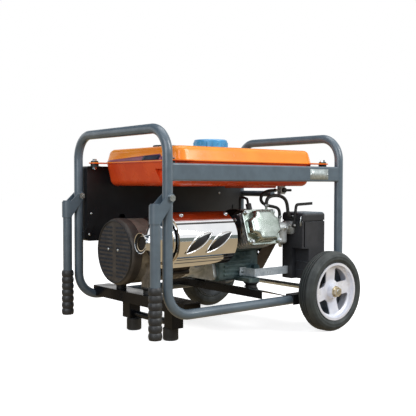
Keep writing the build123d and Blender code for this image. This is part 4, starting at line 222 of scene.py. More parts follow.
def makeFinish(name, spec):
    material = bareMaterial(name)
    tree = material.node_tree
    where = addNode(tree, "ShaderNodeTexCoord").outputs["Object"]
    mottle = addNode(tree, "ShaderNodeTexNoise", {"Scale": 1 / (spec["mottleMm"] * mm),
            **shared["coarse"]}, {"Vector": where})
    grain = addNode(tree, "ShaderNodeTexNoise", {"Scale": 1 / (spec["grainMm"] * mm), **shared["fine"]},
        {"Vector": where})
    patches = addNode(tree, "ShaderNodeMapRange", shared["patches"], {"Value": mottle.outputs["Fac"]})
    overlays = []  # (share, colour code), the lowest layer first
    reliefs = []  # (height, weight) on top of the grain
    if "streak" in spec:
        along, longMm, wideMm, share = spec["streak"]
        scales = [1 / (wideMm * mm)] * 3
        scales["xyz".index(along)] = 1 / (longMm * mm)
        drawn = addNode(tree, "ShaderNodeMapping", {"Scale": scales}, {"Vector": where})
        lines = addNode(tree, "ShaderNodeTexNoise", {"Scale": 1.0, **shared["fine"]},
            {"Vector": drawn.outputs["Vector"]})
        weight = addNode(tree, "ShaderNodeMapRange", {"To Max": share, **shared["streaks"]},
            {"Value": lines.outputs["Fac"]})
        overlays.append((weight.outputs["Result"], spec["dark"]))
        reliefs.append((lines.outputs["Fac"], 1.0))
    if "bands" in spec:
        along, pitchMm, share = spec["bands"]
        stack = addNode(tree, "ShaderNodeTexWave", {"bands_direction": along,
                "Scale": waveScale(pitchMm)}, {"Vector": where})
        weight = addNode(tree, "ShaderNodeMapRange", {"To Max": share}, {"Value": stack.outputs["Fac"]})
        overlays.append((weight.outputs["Result"], spec["dark"]))
        reliefs.append((stack.outputs["Fac"], shared["bandDepth"]))
    if "rings" in spec:
        centre, pitchMm = spec["rings"]
        hub = addNode(tree, "ShaderNodeMapping", {"Location": [-c for c in centre]}, {"Vector": where})
        ridges = addNode(tree, "ShaderNodeTexWave", {"wave_type": "RINGS", "rings_direction": "Y",
                "Scale": waveScale(pitchMm)}, {"Vector": hub.outputs["Vector"]})
        reliefs.append((ridges.outputs["Fac"], shared["ringDepth"]))
    # the holes are not cut: near-black spots paint the shade behind them
    if "holes" in spec:
        pitchMm, holeShadeColour = spec["holes"]
        cells = addNode(tree, "ShaderNodeTexVoronoi", {"Scale": 1 / (pitchMm * mm), "Randomness": 0.0},
            {"Vector": where})
        paintedHoleShade = addNode(tree, "ShaderNodeMapRange", shared["paintedHoleShade"],
            {"Value": cells.outputs["Distance"]})
        overlays.append((paintedHoleShade.outputs["Result"], holeShadeColour))
    if "heat" in spec:
        centre, reach, scorch = spec["heat"]
        away = addNode(tree, "ShaderNodeVectorMath", {"operation": "DISTANCE", 1: centre}, {0: where})
        near = addNode(tree, "ShaderNodeMapRange", {"From Max": reach, **shared["scorched"]},
            {"Value": away.outputs["Value"]})
        overlays.append((near.outputs["Result"], scorch))
    # faces that look up turn towards this colour: real dust on most finishes, a painted highlight on
    # the cap and the air cleaner
    if "dustAndSheen" in spec:
        dustAndSheenColour, share = spec["dustAndSheen"]
        facing = addNode(tree, "ShaderNodeSeparateXYZ", None,
            {0: addNode(tree, "ShaderNodeNewGeometry").outputs["Normal"]})
        dustAndSheenShare = addNode(tree, "ShaderNodeMapRange", {"To Max": share, **shared["dustAndSheen"]},
            {"Value": facing.outputs["Z"]})
        overlays.append((dustAndSheenShare.outputs["Result"], dustAndSheenColour))
    colour = addNode(tree, "ShaderNodeMix", {"data_type": "RGBA", 6: hexToLinear(spec["light"]),
            7: hexToLinear(spec["dark"])}, {0: patches.outputs["Result"]}).outputs[2]
    for share, code in overlays:
        colour = addNode(tree, "ShaderNodeMix", {"data_type": "RGBA", 7: hexToLinear(code)},
            {0: share, 6: colour}).outputs[2]
    height = grain.outputs["Fac"]
    for relief, weight in reliefs:
        height = addNode(tree, "ShaderNodeMath", {"operation": "MULTIPLY_ADD", 1: weight},
            {0: relief, 2: height}).outputs[0]
    rough = addNode(tree, "ShaderNodeMapRange", {"To Min": spec["rough"][0],
            "To Max": spec["rough"][1]}, {"Value": patches.outputs["Result"]})
    bump = addNode(tree, "ShaderNodeBump", {"Distance": spec["depthMm"] * mm, **shared["bump"]},
        {"Height": height})
    surface = addNode(tree, "ShaderNodeBsdfPrincipled",
        {"Metallic": spec.get("metal", 0.0), "Specular IOR Level": spec.get("specular", 0.5),
            "Coat Weight": spec.get("coat", 0.0), **shared["coat"]},
        {"Base Color": colour, "Roughness": rough.outputs["Result"], "Normal": bump.outputs["Normal"]})
    addNode(tree, "ShaderNodeOutputMaterial", None, {"Surface": surface.outputs["BSDF"]})
    return material


materials = {name: makeFinish(name, spec) for name, spec in finishes.items()}
print("stage: finishes made,", len(materials))

# Which finish each CAD node wears
nodeFinish = {
    "powderCoatSlate": ["frame_left_hoop", "frame_right_hoop", "upper_rail", "near_handle",
        "far_handle"],
    "glossPaintBlack": ["alternator_cross_member", "engine_cross_member", "foot_stand"],
    "ovenPaintBlack": ["axle_brackets", "tank_tabs", "control_box", "control_panel", "panel_braces"],
    "enamelOrange": ["fuel_tank_upper"],
    # the tank's lower pressing wears the shaded copy of its enamel: painted shade
    "enamelOrangeShaded": ["fuel_tank_lower"],
    "polypropyleneBlue": ["fuel_cap"],
    "chromePlate": ["muffler_guard"],
    "aluminisedSteel": ["muffler"],
    "dieCastAluminium": ["cylinder_head", "carburetor", "fuel_valve", "alternator_front_bell"],
    "sandCastAluminium": ["engine_block"],
    "agedCastAluminium": ["alternator_rear_bell"],
    "platedPressedSteel": ["valve_cover"],
    "zincPaintedReflection": ["air_cleaner_bracket"],
    "zincPlate": ["axle", "tank_bolts", "handle_pivots"],
    "yellowZinc": ["axle_nuts"],
    "polypropyleneCharcoal": ["air_cleaner_base", "air_cleaner_cover"],
    "absBlack": ["fuel_gauge", "recoil_cover", "recoil_grip", "choke_lever", "fuel_valve_lever",
        "power_sockets", "voltmeter", "engine_switch", "breaker_button", "spark_plug", "cooling_fan"],
    "polyamideBrown": ["alternator_end_cover"],
    "heatPaintBrown": ["blower_housing"],
    "rubberBlack": ["foot_pads", "rubber_mounts", "tank_grommets", "engine_hoses", "spark_lead"],
    "pvcCharcoal": ["near_grip", "far_grip"],
    "tyreRubber": ["near_tyre", "far_tyre"],
    "enamelSilver": ["near_rim", "far_rim"],
    "groundSteel": ["crankshaft", "flywheel"],
    "laminatedSteel": ["stator", "rotor_core"],
}
for finish, names in nodeFinish.items():
    for name in names:
        mesh = nodes[name].data
        mesh.materials.clear()
        mesh.materials.append(materials[finish])
print("stage: CAD nodes finished")


def axisMatrix(place, axis, turn=0.0):
    # local Z along the axis, origin at the place
    spin = Vector(axis).to_track_quat("Z", "Y").to_matrix().to_4x4()
    return Matrix.Translation(Vector(place)) @ spin @ Matrix.Rotation(turn, 4, "Z")


def latheInto(bm, profile, matrix, segments):
    # rings of vertices from (radius, height) pairs in millimetres, joined by quads
    rings = []
    for radius, height in profile:
        if radius * mm < tiny:  # on the axis one vertex is enough
            rings.append([bm.verts.new(matrix @ at(0, 0, height))])
            continue
        turns = [2 * math.pi * step / segments for step in range(segments)]
        rings.append([bm.verts.new(matrix @ at(radius * math.cos(turn), radius * math.sin(turn),
                height)) for turn in turns])
    for first, second in zip(rings, rings[1:]):
        for step in range(segments):
            after = (step + 1) % segments
            corners = [first[step % len(first)], first[after % len(first)], second[after % len(second)],
                second[step % len(second)]]
            unique = list(dict.fromkeys(corners))
            if len(unique) > 2:
                bm.faces.new(unique)


def joinLoops(bm, loops):
    # quads between each loop of vertices and the next one
    for first, second in zip(loops, loops[1:]):
        for step in range(len(first)):
            after = (step + 1) % len(first)
            bm.faces.new((first[step], first[after], second[after], second[step]))


def loftInto(bm, outline, levels, matrix):
    # copies of one outline at shares of its size and heights, closed at both ends
    loops = [[bm.verts.new(matrix @ at(x * share, y * share, height)) for x, y in outline]
        for share, height in levels]
    joinLoops(bm, loops)
    bm.faces.new(loops[0])
    bm.faces.new(loops[-1])


def slabInto(bm, corners, out, thick):
    # a thin closed plate: the corners and their copies moved outwards
    low = [bm.verts.new(corner) for corner in corners]
    high = [bm.verts.new(corner + out * thick * mm) for corner in corners]
    joinLoops(bm, [low, high])
    bm.faces.new(low)
    bm.faces.new(high)


sharpFrom = math.radians(35)  # edges that bend more than this stay crisp


def addPiece(name, shape, finish, body="frame", smooth=True):
    # a bmesh or a ready mesh as a finished object that rides on a body
    mesh = shape
    if isinstance(shape, bmesh.types.BMesh):
        bmesh.ops.remove_doubles(shape, verts=shape.verts, dist=tiny)
        bmesh.ops.recalc_face_normals(shape, faces=shape.faces)
        mesh = bpy.data.meshes.new(name)
        shape.to_mesh(mesh)
        shape.free()
        if smooth:
            mesh.shade_smooth()
            mesh.set_sharp_from_angle(angle=sharpFrom)
    mesh.materials.append(materials[finish])
    piece = linked(name, mesh)
    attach(piece, body)
    return piece


def lathePiece(name, profile, matrix, segments, finish, body="frame"):
    bm = bmesh.new()
    latheInto(bm, profile, matrix, segments)
    return addPiece(name, bm, finish, body)


# Fasteners at size 1 as (profile, sides): a flanged hex head of 10 mm across flats with a dimpled
# crown, and a domed screw head with a round recess; turns are the first turn and the step to the next
fasteners = {
    "bolt": dict(turns=(0.0, 0.3), parts=[([(0, 0), (7.5, 0), (7.5, 0.96), (6.75, 1.6), (0, 1.6)], 20),
            ([(0, 1.6), (5.7735, 1.6), (5.7735, 5.8), (4.9652, 6.6), (2.8868, 6.6), (2.3094, 6.0),
            (0, 6.0)], 6)]),
    "screw": dict(turns=(0.4, 1.0), parts=[([(0, 0), (5.5, 0), (5.5, 1.4), (5.06, 2.72), (3.85, 3.72),
            (1.925, 4), (1.65, 2.48), (0, 2.48)], 20)]),
}


def fastenerInto(bm, kind, place, axis, size, count=0):
    first, step = fasteners[kind]["turns"]
    matrix = axisMatrix(place, axis, first + step * count)
    for profile, sides in fasteners[kind]["parts"]:
        latheInto(bm, [(radius * size, height * size) for radius, height in profile], matrix, sides)


def fastenerSet(name, kind, places, axis, size=1.0, finish="zincPlate"):
    bm = bmesh.new()
    for count, place in enumerate(places):
        fastenerInto(bm, kind, place, axis, size, count)
    return addPiece(name, bm, finish)


def gridOf(rows, columns, spot):
    # a sheet's points, from shares across its rows and along its columns
    return [[spot(row / rows, column / columns) for column in range(columns + 1)]
        for row in range(rows + 1)]


def sheetPiece(name, rows, thick, finish):
    # a grid of points, thickened to both sides by a modifier
    bm = bmesh.new()
    grid = [[bm.verts.new(point) for point in row] for row in rows]
    for lower, upper in zip(grid, grid[1:]):
        for column in range(len(lower) - 1):
            bm.faces.new((lower[column], lower[column + 1], upper[column + 1], upper[column]))
    piece = addPiece(name, bm, finish)
    solid = piece.modifiers.new("thickness", "SOLIDIFY")
    solid.thickness = thick * mm
    solid.offset = 0
    return piece


wireRule = {"round": 2, "softRound": 5, "order": 4, "stepsPerKnot": 10}


def wirePiece(name, points, radius, finish, closed=False, soft=False):
    # a round bead along points, made as a tube mesh; a soft one bends smoothly between them
    curve = bpy.data.curves.new(name, "CURVE")
    curve.dimensions = "3D"
    curve.bevel_depth = radius * mm
    curve.bevel_resolution = wireRule["softRound" if soft else "round"]
    curve.use_fill_caps = True
    line = curve.splines.new("NURBS" if soft else "POLY")
    line.points.add(len(points) - 1)
    for knot, point in zip(line.points, points):
        knot.co = (*point, 1)
    line.use_cyclic_u = closed
    line.use_endpoint_u = soft
    line.order_u = wireRule["order"]
    line.resolution_u = wireRule["stepsPerKnot"]
    holder = bpy.data.objects.new(name + "Path", curve)
    mesh = bpy.data.meshes.new_from_object(holder)
    mesh.name = name
    bpy.data.objects.remove(holder)
    bpy.data.curves.remove(curve)
    mesh.shade_smooth()
    mesh.materials.clear()
    return addPiece(name, mesh, finish)


# Muffler guard: rims round the leaf openings, black mesh behind them, two black beads that paint the
# dark reflections along its creases, and two screws
guardLow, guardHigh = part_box("muffler_guard")
guardRadius = (guardHigh.z - guardLow.z) / 2 / mm
guardMid = Vector((0, guardLow.y + guardRadius * mm, (guardLow.z + guardHigh.z) / 2))
guard = {"leafStarts": (24, 98), "leafLow": -35, "leafRun": 93, "leafRise": 57, "leafAbove": 20,
    "leafBelow": 13, "leafSteps": 14, "rimRadius": 1.6, "rimLift": 0.2, "meshInset": 1.85,
    "meshThick": 0.8, "meshCells": 12, "creaseAngles": (-40, -50), "creaseRadius": 1.1, "creaseIn": 2,
    "screwAngle": 65, "screwsAt": (39, 204), "screwSize": 1.15}


def onGuard(x, z, lift):
    # the guard's near surface at a place along it and a height
    radius = (guardRadius + lift) * mm
    rise = z - guardMid.z
    return Vector((x, guardMid.y - math.sqrt(max(radius * radius - rise * rise, 0)), z))


def guardOut(angle):
    # the direction out of the guard at an angle above its middle
    turn = math.radians(angle)
    return Vector((0, -math.cos(turn), math.sin(turn)))


def leafOutline(start):
    low = Vector((guardLow.x + start * mm, guardMid.z + guard["leafLow"] * mm))
    run = Vector((guard["leafRun"], guard["leafRise"])) * mm
    across = Vector((-run.y, run.x)).normalized()
    outline = []
    for side, bulge in ((1, guard["leafAbove"]), (-1, guard["leafBelow"])):
        for step in range(guard["leafSteps"]):
            share = step / guard["leafSteps"]
            share = share if side > 0 else 1 - share
            bow = 4 * share * (1 - share) * bulge * mm * side
            outline.append(low + run * share + across * bow)
    return outline


for number, start in enumerate(guard["leafStarts"]):
    outline = leafOutline(start)
    rim = [onGuard(p.x, p.y, guard["rimLift"]) for p in outline]
    wirePiece(f"guardLeafRim{number}", rim, guard["rimRadius"], "chromePlate", closed=True)
    lowX, highX = min(p.x for p in outline), max(p.x for p in outline)
    lowZ, highZ = min(p.y for p in outline), max(p.y for p in outline)
    corner, span = Vector((lowX, lowZ)), Vector((highX - lowX, highZ - lowZ))
    rows = gridOf(guard["meshCells"], guard["meshCells"],
        lambda up, along: onGuard(*(corner + span * Vector((along, up))), -guard["meshInset"]))
    sheetPiece(f"guardMesh{number}", rows, guard["meshThick"], "perforatedSteel")
# each crease is a black bead on the chrome: a painted dark reflection
for number, angle in enumerate(guard["creaseAngles"]):
    spot = guardMid + guardOut(angle) * guardRadius * mm
    creaseIn = guard["creaseIn"] * mm
    bead = [Vector((x, spot.y, spot.z)) for x in (guardLow.x + creaseIn, guardHigh.x - creaseIn)]
    wirePiece(f"guardCrease{number}", bead, guard["creaseRadius"], "ovenPaintBlack")
screwOut = guardOut(guard["screwAngle"])
screwRow = guardMid + Vector((guardLow.x, 0, 0)) + screwOut * guardRadius * mm
fastenerSet("guardScrews", "screw", [screwRow + at(along, 0, 0) for along in guard["screwsAt"]],
    screwOut, guard["screwSize"])
print("stage: guard trimmed")

# Valve cover: a pressed shell on the tilted cylinder, with a soft shoulder and corners scooped to clear
# the four bolts; levels are (share of the outline, height above the cover's face)
cover = {"tilt": 18, "faceAt": 224.4, "boltWide": 57, "boltHigh": 46, "boltLift": 10.2,
    "boltSize": 0.95, "wide": 68, "high": 56, "corner": 16, "cornerSteps": 8,
    "flange": [(1, 0), (1, 3.8), (0.982, 5)], "domeWide": 60, "domeHigh": 50, "square": 5.0,
    "scoop": 21, "steps": 96, "soften": (1, 2, 3, 2, 1),
    "dome": [(1, 2), (1, 7), (0.975, 19), (0.955, 25), (0.92, 28.8), (0.86, 30.8), (0.7, 31.6),
        (0.35, 32)], "boss": [(0, 0), (9, 0), (9, 9), (8.2, 10), (0, 10)], "bossSides": 24,
    "spigotAt": (111, -165.9, 385), "spigot": [(0, 0), (4, 0), (4, 16), (0, 16)], "spigotSides": 20}
tilt = math.radians(cover["tilt"])
cylinderOut = Vector((0, -math.cos(tilt), math.sin(tilt)))
cylinderUp = Vector((0, math.sin(tilt), math.cos(tilt)))
crankLow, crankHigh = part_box("rotor_core")
valveLow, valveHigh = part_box("valve_cover")
cylinderRoot = Vector(((valveLow.x + valveHigh.x) / 2, (crankLow.y + crankHigh.y) / 2,
        (crankLow.z + crankHigh.z) / 2))
coverFrame = Matrix((Vector((1, 0, 0)), cylinderUp, cylinderOut)).transposed().to_4x4()
coverFrame.translation = cylinderRoot + cylinderOut * cover["faceAt"] * mm
coverCorners = [(sideways * cover["boltWide"], upwards * cover["boltHigh"]) for sideways in (-1, 1)
    for upwards in (-1, 1)]
places = [coverFrame @ at(x, y, cover["boltLift"]) for x, y in coverCorners]
fastenerSet("valveCoverBolts", "bolt", places, cylinderOut, cover["boltSize"])


def domeReach(turn):
    # a squarish outline, cut back where a ray from the middle meets a bolt's scoop
    across, upwards = abs(math.cos(turn)), abs(math.sin(turn))
    power = cover["square"]
    reach = ((across / cover["domeWide"]) ** power
        + (upwards / cover["domeHigh"]) ** power) ** (-1 / power)
    along = cover["boltWide"] * across + cover["boltHigh"] * upwards
    apart = cover["boltWide"] * upwards - cover["boltHigh"] * across
    if abs(apart) < cover["scoop"]:
        reach = min(reach, along - math.sqrt(cover["scoop"] ** 2 - apart ** 2))
    return reach


turns = [2 * math.pi * step / cover["steps"] for step in range(cover["steps"])]
reaches = [domeReach(turn) for turn in turns]
weights = cover["soften"]
domeOutline = []
for step, turn in enumerate(turns):  # each reach is averaged with its neighbours: softer scoops
    near = [reaches[(step + shift - len(weights) // 2) % len(reaches)] for shift in range(len(weights))]
    reach = sum(weight * value for weight, value in zip(weights, near)) / sum(weights)
    domeOutline.append((reach * math.cos(turn), reach * math.sin(turn)))
flangeOutline = []
for quarter, (sideways, upwards) in enumerate(((1, 1), (-1, 1), (-1, -1), (1, -1))):
    for step in range(cover["cornerSteps"] + 1):
        turn = math.pi / 2 * (quarter + step / cover["cornerSteps"])
        corner = cover["corner"]
        flangeOutline.append((sideways * (cover["wide"] - corner) + corner * math.cos(turn),
                upwards * (cover["high"] - corner) + corner * math.sin(turn)))
bm = bmesh.new()
loftInto(bm, flangeOutline, cover["flange"], coverFrame)
loftInto(bm, domeOutline, cover["dome"], coverFrame)
for x, y in coverCorners:
    latheInto(bm, cover["boss"], coverFrame @ Matrix.Translation(at(x, y, 0)), cover["bossSides"])
latheInto(bm, cover["spigot"], axisMatrix(at(*cover["spigotAt"]), (0, 0, -1)), cover["spigotSides"])
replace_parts(addPiece("valveCoverShell", bm, "platedPressedSteel"), "valve_cover")
print("stage: valve cover pressed")

# Upper rail: blank foil plate with two rivets near its wheel end, weld beads where it meets the hoops
railLow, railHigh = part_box("upper_rail")
plate = {"fromEnd": 137, "long": 84, "high": 33, "drop": 8.5, "thick": 0.8, "cells": (2, 4),
    "rivetIn": 4.5, "rivetLift": 0.7, "rivetSize": 0.5}
plateX = railHigh.x - plate["fromEnd"] * mm
plateZ = railHigh.z - plate["drop"] * mm


def onRail(along, down, lift):
    # a place on the rail's near face, from the plate's upper corner
    return Vector((plateX + along * mm, railLow.y - lift * mm, plateZ - down * mm))


plateLong, plateHigh, plateThick = (plate[key] for key in ("long", "high", "thick"))
rows = gridOf(*plate["cells"], lambda down, along: onRail(plateLong * along, plateHigh * down,
        plateThick / 2))
sheetPiece("ratingPlate", rows, plateThick, "brushedAluminium")
rivetsAt = (plate["rivetIn"], plateLong - plate["rivetIn"])
places = [onRail(along, plateHigh / 2, plate["rivetLift"]) for along in rivetsAt]
fastenerSet("plateRivets", "screw", places, (0, -1, 0), plate["rivetSize"])
weld = {"radius": 1.7, "ripple": 0.4, "wave": 1.9, "steps": 44, "in": 0.3, "deep": 0.6}
weldIn = weld["in"] * mm
for side, weldX in enumerate((railLow.x + weldIn, railHigh.x - weldIn)):
    bead = []
    for step in range(weld["steps"] + 1):
        ripple = weld["ripple"] * mm * math.sin(step * weld["wave"])
        bead.append(Vector((weldX + ripple, railLow.y + weld["deep"] * mm,
                railLow.z + (railHigh.z - railLow.z) * step / weld["steps"])))
    wirePiece(f"railWeld{side}", bead, weld["radius"], "powderCoatSlate")
print("stage: rail trimmed")

# Tank: plum film and blank navy plate on the end face, which leans in towards the top; vent on the cap
tank = {"faceX": -262, "seam": 522, "lean": 15, "cornerRadius": 44, "cornerY": 156}


def onTankEnd(across, high, lift):
    # the end face at a place across it and a height above the seam, bending round the far corner
    reach = tank["cornerRadius"] - high * math.tan(math.radians(tank["lean"])) + lift
    bend = max(across - tank["cornerY"], 0) / tank["cornerRadius"]
    return at(tank["faceX"] + tank["cornerRadius"] - reach * math.cos(bend),
        min(across, tank["cornerY"]) + reach * math.sin(bend), tank["seam"] + high)


stripe = {"far": 182, "nearLow": -138, "nearHigh": -111, "foot": 2.6, "farTall": 5, "nearTall": 18,
    "lift": 0.3, "thick": 0.4, "cells": (4, 32)}


def onStripe(up, along):
    near = stripe["nearLow"] + (stripe["nearHigh"] - stripe["nearLow"]) * up
    tall = stripe["farTall"] + (stripe["nearTall"] - stripe["farTall"]) * along
    return onTankEnd(stripe["far"] + (near - stripe["far"]) * along, stripe["foot"] + tall * up,
        stripe["lift"])


sheetPiece("tankStripe", gridOf(*stripe["cells"], onStripe), stripe["thick"], "vinylPlum")
navy = {"far": -24.7, "near": -109, "foot": 4.2, "tall": 13, "shift": -8, "lift": 0.9, "thick": 1.2,
    "cells": (4, 8)}


def onNavyPlate(up, along):
    across = navy["far"] + (navy["near"] - navy["far"]) * along + navy["shift"] * up
    return onTankEnd(across, navy["foot"] + navy["tall"] * up, navy["lift"])


sheetPiece("tankPlate", gridOf(*navy["cells"], onNavyPlate), navy["thick"], "resinNavy")
capVent = {"at": (21, 0, 598), "segments": 40, "profile": [(0, 0), (16, 0), (16, 0.8), (14.5, 1.2),
        (13, 0.6), (3, 0.6), (2, 1.0), (0, 1.0)]}
lathePiece("capVent", capVent["profile"], axisMatrix(at(*capVent["at"]), (0, 0, 1)),
    capVent["segments"], "polypropyleneBlue", "cap")
print("stage: tank trimmed")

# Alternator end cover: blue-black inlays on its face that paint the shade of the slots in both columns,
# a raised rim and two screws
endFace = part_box("alternator_end_cover")[0].x / mm
crankY, crankZ = 45, 254  # the crank's axis in millimetres
endCover = {"rows": 13, "pitch": 12, "slotHigh": 6, "bar": 9, "circle": 87, "slotSteps": 16,
    "slotSunk": 0.1, "slotThick": 0.4, "rimSegments": 72, "screws": ((77, 260), (23.6, 260)),
    "screwSize": 0.8, "rim": [(88.5, -0.2), (89.5, 1.6), (91.5, 2.4), (94, 1.4), (95, -2), (88.5, -2),
        (88.5, -0.2)]}
endOut = Vector((-1, 0, 0))
bm = bmesh.new()
for row in range(endCover["rows"]):
    rowZ = (row - (endCover["rows"] - 1) / 2) * endCover["pitch"]
    rowHalf = math.sqrt(endCover["circle"] ** 2 - rowZ ** 2)
    radius = endCover["slotHigh"] / 2
    for column in (-1, 1):
        ends = sorted((column * (endCover["bar"] + radius), column * (rowHalf - radius)))
        outline = []
        for step in range(endCover["slotSteps"]):
            turn = 2 * math.pi * step / (endCover["slotSteps"] - 1) - math.pi / 2
            side = ends[1] if step < endCover["slotSteps"] / 2 else ends[0]
            outline.append(at(endFace + endCover["slotSunk"], crankY + side + radius * math.cos(turn),
                    crankZ + rowZ + radius * math.sin(turn)))
        slabInto(bm, outline, endOut, endCover["slotThick"])
addPiece("coverSlotShade", bm, "slotPaintedShade")
lathePiece("coverRim", endCover["rim"], axisMatrix(at(endFace, crankY, crankZ), endOut),
    endCover["rimSegments"], "absBlack")
fastenerSet("endCoverScrews", "screw", [at(endFace, y, z) for y, z in endCover["screws"]], endOut,
    endCover["screwSize"])

# Control box: screws in its back and in the two braces
boxBack = {"screws": [(238, 214, 423.7), (-292.8, 214, 361.9), (-302, 210.8, 296), (344, 210.8, 296)],
    "size": 0.8}
fastenerSet("boxBackScrews", "screw", [at(*place) for place in boxBack["screws"]], (0, -1, 0),
    boxBack["size"])

# Exhaust: black lobed plate with two nuts round the header, the muffler's bright rolled end cap, and
# the flared tail pipe with its sooty inside, closed by a black disc that paints the shade of its depth;
# turned profiles are (radius, place along X)
port = {"low": 2.3, "high": 6.6, "mid": (-140.5, 314.3), "hole": 17, "side": 24, "up": 50, "down": 42,
    "upSharp": 1.6, "downSharp": 2.4, "stud": 32, "steps": 56}


def lobeReach(turn):
    # a long lobe upwards and a shorter one downwards
    upper = (port["up"] - port["side"]) * max(math.cos(turn), 0) ** port["upSharp"]
    lower = (port["down"] - port["side"]) * max(-math.cos(turn), 0) ** port["downSharp"]
    return port["side"] + upper + lower


portY, portZ = port["mid"]
bm = bmesh.new()
loops = []
for lobed, height in ((False, "low"), (True, "low"), (True, "high"), (False, "high")):
    loop = []
    for step in range(port["steps"]):
        turn = 2 * math.pi * step / port["steps"]
        radius = lobeReach(turn) if lobed else port["hole"]
        loop.append(bm.verts.new(at(port[height], portY + radius * math.sin(turn),
                portZ + radius * math.cos(turn))))
    loops.append(loop)
joinLoops(bm, loops + loops[:1])
addPiece("exhaustPlate", bm, "ovenPaintBlack")
fastenerSet("exhaustNuts", "bolt", [at(port["low"], portY, portZ + side * port["stud"])
        for side in (-1, 1)], (-1, 0, 0))
exhaustTurned = {
    "mufflerEndCap": dict(axis=(-134, 296), finish="chromePlate",
        profile=[(0, -258), (64.3, -258), (64.3, -270), (62, -281), (55, -288), (38, -292), (0, -293)]),
    "tailFlare": dict(axis=(-92, 288), finish="chromePlate",
        profile=[(23.3, -288), (24, -297), (26.5, -304), (29, -309), (30.2, -311.5), (29.6, -312.8),
            (28.2, -312.4), (25, -306), (20.2, -301), (20.2, -290), (23.3, -288)]),
    "tailSootAndShade": dict(axis=(-92, 288), finish="sootAndShadeBlack",
        profile=[(0, -296), (20, -296), (20.6, -301.4), (25.3, -306.4), (27.8, -311.8), (24.9, -306.6),
            (19.8, -301.6), (0, -300.5)]),
}
alongX = Matrix.Rotation(math.pi / 2, 4, "Y")
turnedSides = 56
for name, turned in exhaustTurned.items():
    lathePiece(name, turned["profile"], Matrix.Translation(at(0, *turned["axis"])) @ alongX,
        turnedSides, turned["finish"])
print("stage: exhaust trimmed")

# Carburettor and air cleaner: drain bolt of the bowl, idle screw with its spring, flat clip of the lid
bowlBolt = {"at": (194.5, -145.2, 259.8), "size": 0.9}
fastenerSet("bowlBolt", "bolt", [at(*bowlBolt["at"])], (0, 0, -1), bowlBolt["size"], "yellowZinc")
idle = {"at": (196, -163.7, 315.8), "root": [(0, 0), (3.2, 0)], "coils": 5, "pitch": 2,
    "coil": [(4.2, 0.8), (3.0, 1.8)], "knob": [(5.2, 11), (5.2, 14), (4.4, 15), (0, 15)], "sides": 18}
spring = [(radius, height + idle["pitch"] * coil) for coil in range(idle["coils"])
    for radius, height in idle["coil"]]
lathePiece("idleScrew", idle["root"] + spring + idle["knob"], axisMatrix(at(*idle["at"]), (0, -1, 0)),
    idle["sides"], "zincPlate")
clip = {"near": -201.5, "far": -194.5, "thick": 0.9,
    "path": [(232.4, 322), (231.2, 330), (230.4, 342), (231.6, 350), (232.4, 354)]}
sheetPiece("coverClip", [[at(x, clip["near"], z), at(x, clip["far"], z)] for x, z in clip["path"]],
    clip["thick"], "zincPlate")

# Hoses: clamps at both ends as (place, axis, radius), and the two hoses themselves with smooth bends
clamp = {"wide": 6, "thick": 0.9, "sides": 24, "screwSize": 0.4,
    "places": [((174, -140, 436.8), (1, 0, 0), 4.95), ((190.5, -145.2, 352), (0, 0, 1), 4.95),
        ((111, -165.9, 390.5), (0, 0, 1), 5.45), ((227, -165.9, 350.4), (1, 0, 0), 5.45)]}
bm = bmesh.new()
for (x, y, z), axis, radius in clamp["places"]:
    half = clamp["wide"] / 2
    outer = radius + clamp["thick"]
    latheInto(bm, [(radius, -half), (outer, -half), (outer, half), (radius, half), (radius, -half)],
        axisMatrix(at(x, y, z), axis), clamp["sides"])
    fastenerInto(bm, "bolt", at(x, y - outer, z), (0, -1, 0), clamp["screwSize"])
addPiece("hoseClamps", bm, "zincPlate")
hoses = {
    "fuelHose": dict(radius=5, path=[(178.8, -140, 436.8), (164, -140, 436.8), (121, -140, 436),
            (103, -141, 402), (137, -146.2, 386), (190.5, -145.2, 383), (190.5, -145.2, 362),
            (190.5, -145.2, 347)]),
    "breatherHose": dict(radius=5.5, path=[(111, -165.9, 385.2), (111, -165.9, 398), (111, -165.9, 417),
            (161, -165.9, 424), (207, -165.9, 408), (205, -165.9, 350.4), (220, -165.9, 350.4),
            (232.8, -165.9, 350.4)]),
}
for name, hose in hoses.items():
    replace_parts(wirePiece(name, [at(*point) for point in hose["path"]], hose["radius"], "rubberBlack",
            soft=True), "engine_hoses")

# Engine: bolts at both ends of the air cleaner's strap and round the blower housing
strapBolts = {"strapBoltFront": dict(place=(229.8, -129, 177.5), axis=(-1, 0, 0), size=0.9),
    "strapBoltBlock": dict(place=(86.5, -84.2, 177.5), axis=(0, -1, 0), size=0.9)}
for name, bolt in strapBolts.items():
    fastenerSet(name, "bolt", [at(*bolt["place"])], bolt["axis"], bolt["size"])
blower = {"x": 219.2, "circle": 109, "angles": (45, 135, 225, 315), "size": 0.65}
places = []
for angle in blower["angles"]:
    turn = math.radians(angle)
    places.append(at(blower["x"], crankY + blower["circle"] * math.cos(turn),
            crankZ + blower["circle"] * math.sin(turn)))
fastenerSet("blowerBolts", "bolt", places, (1, 0, 0), blower["size"])

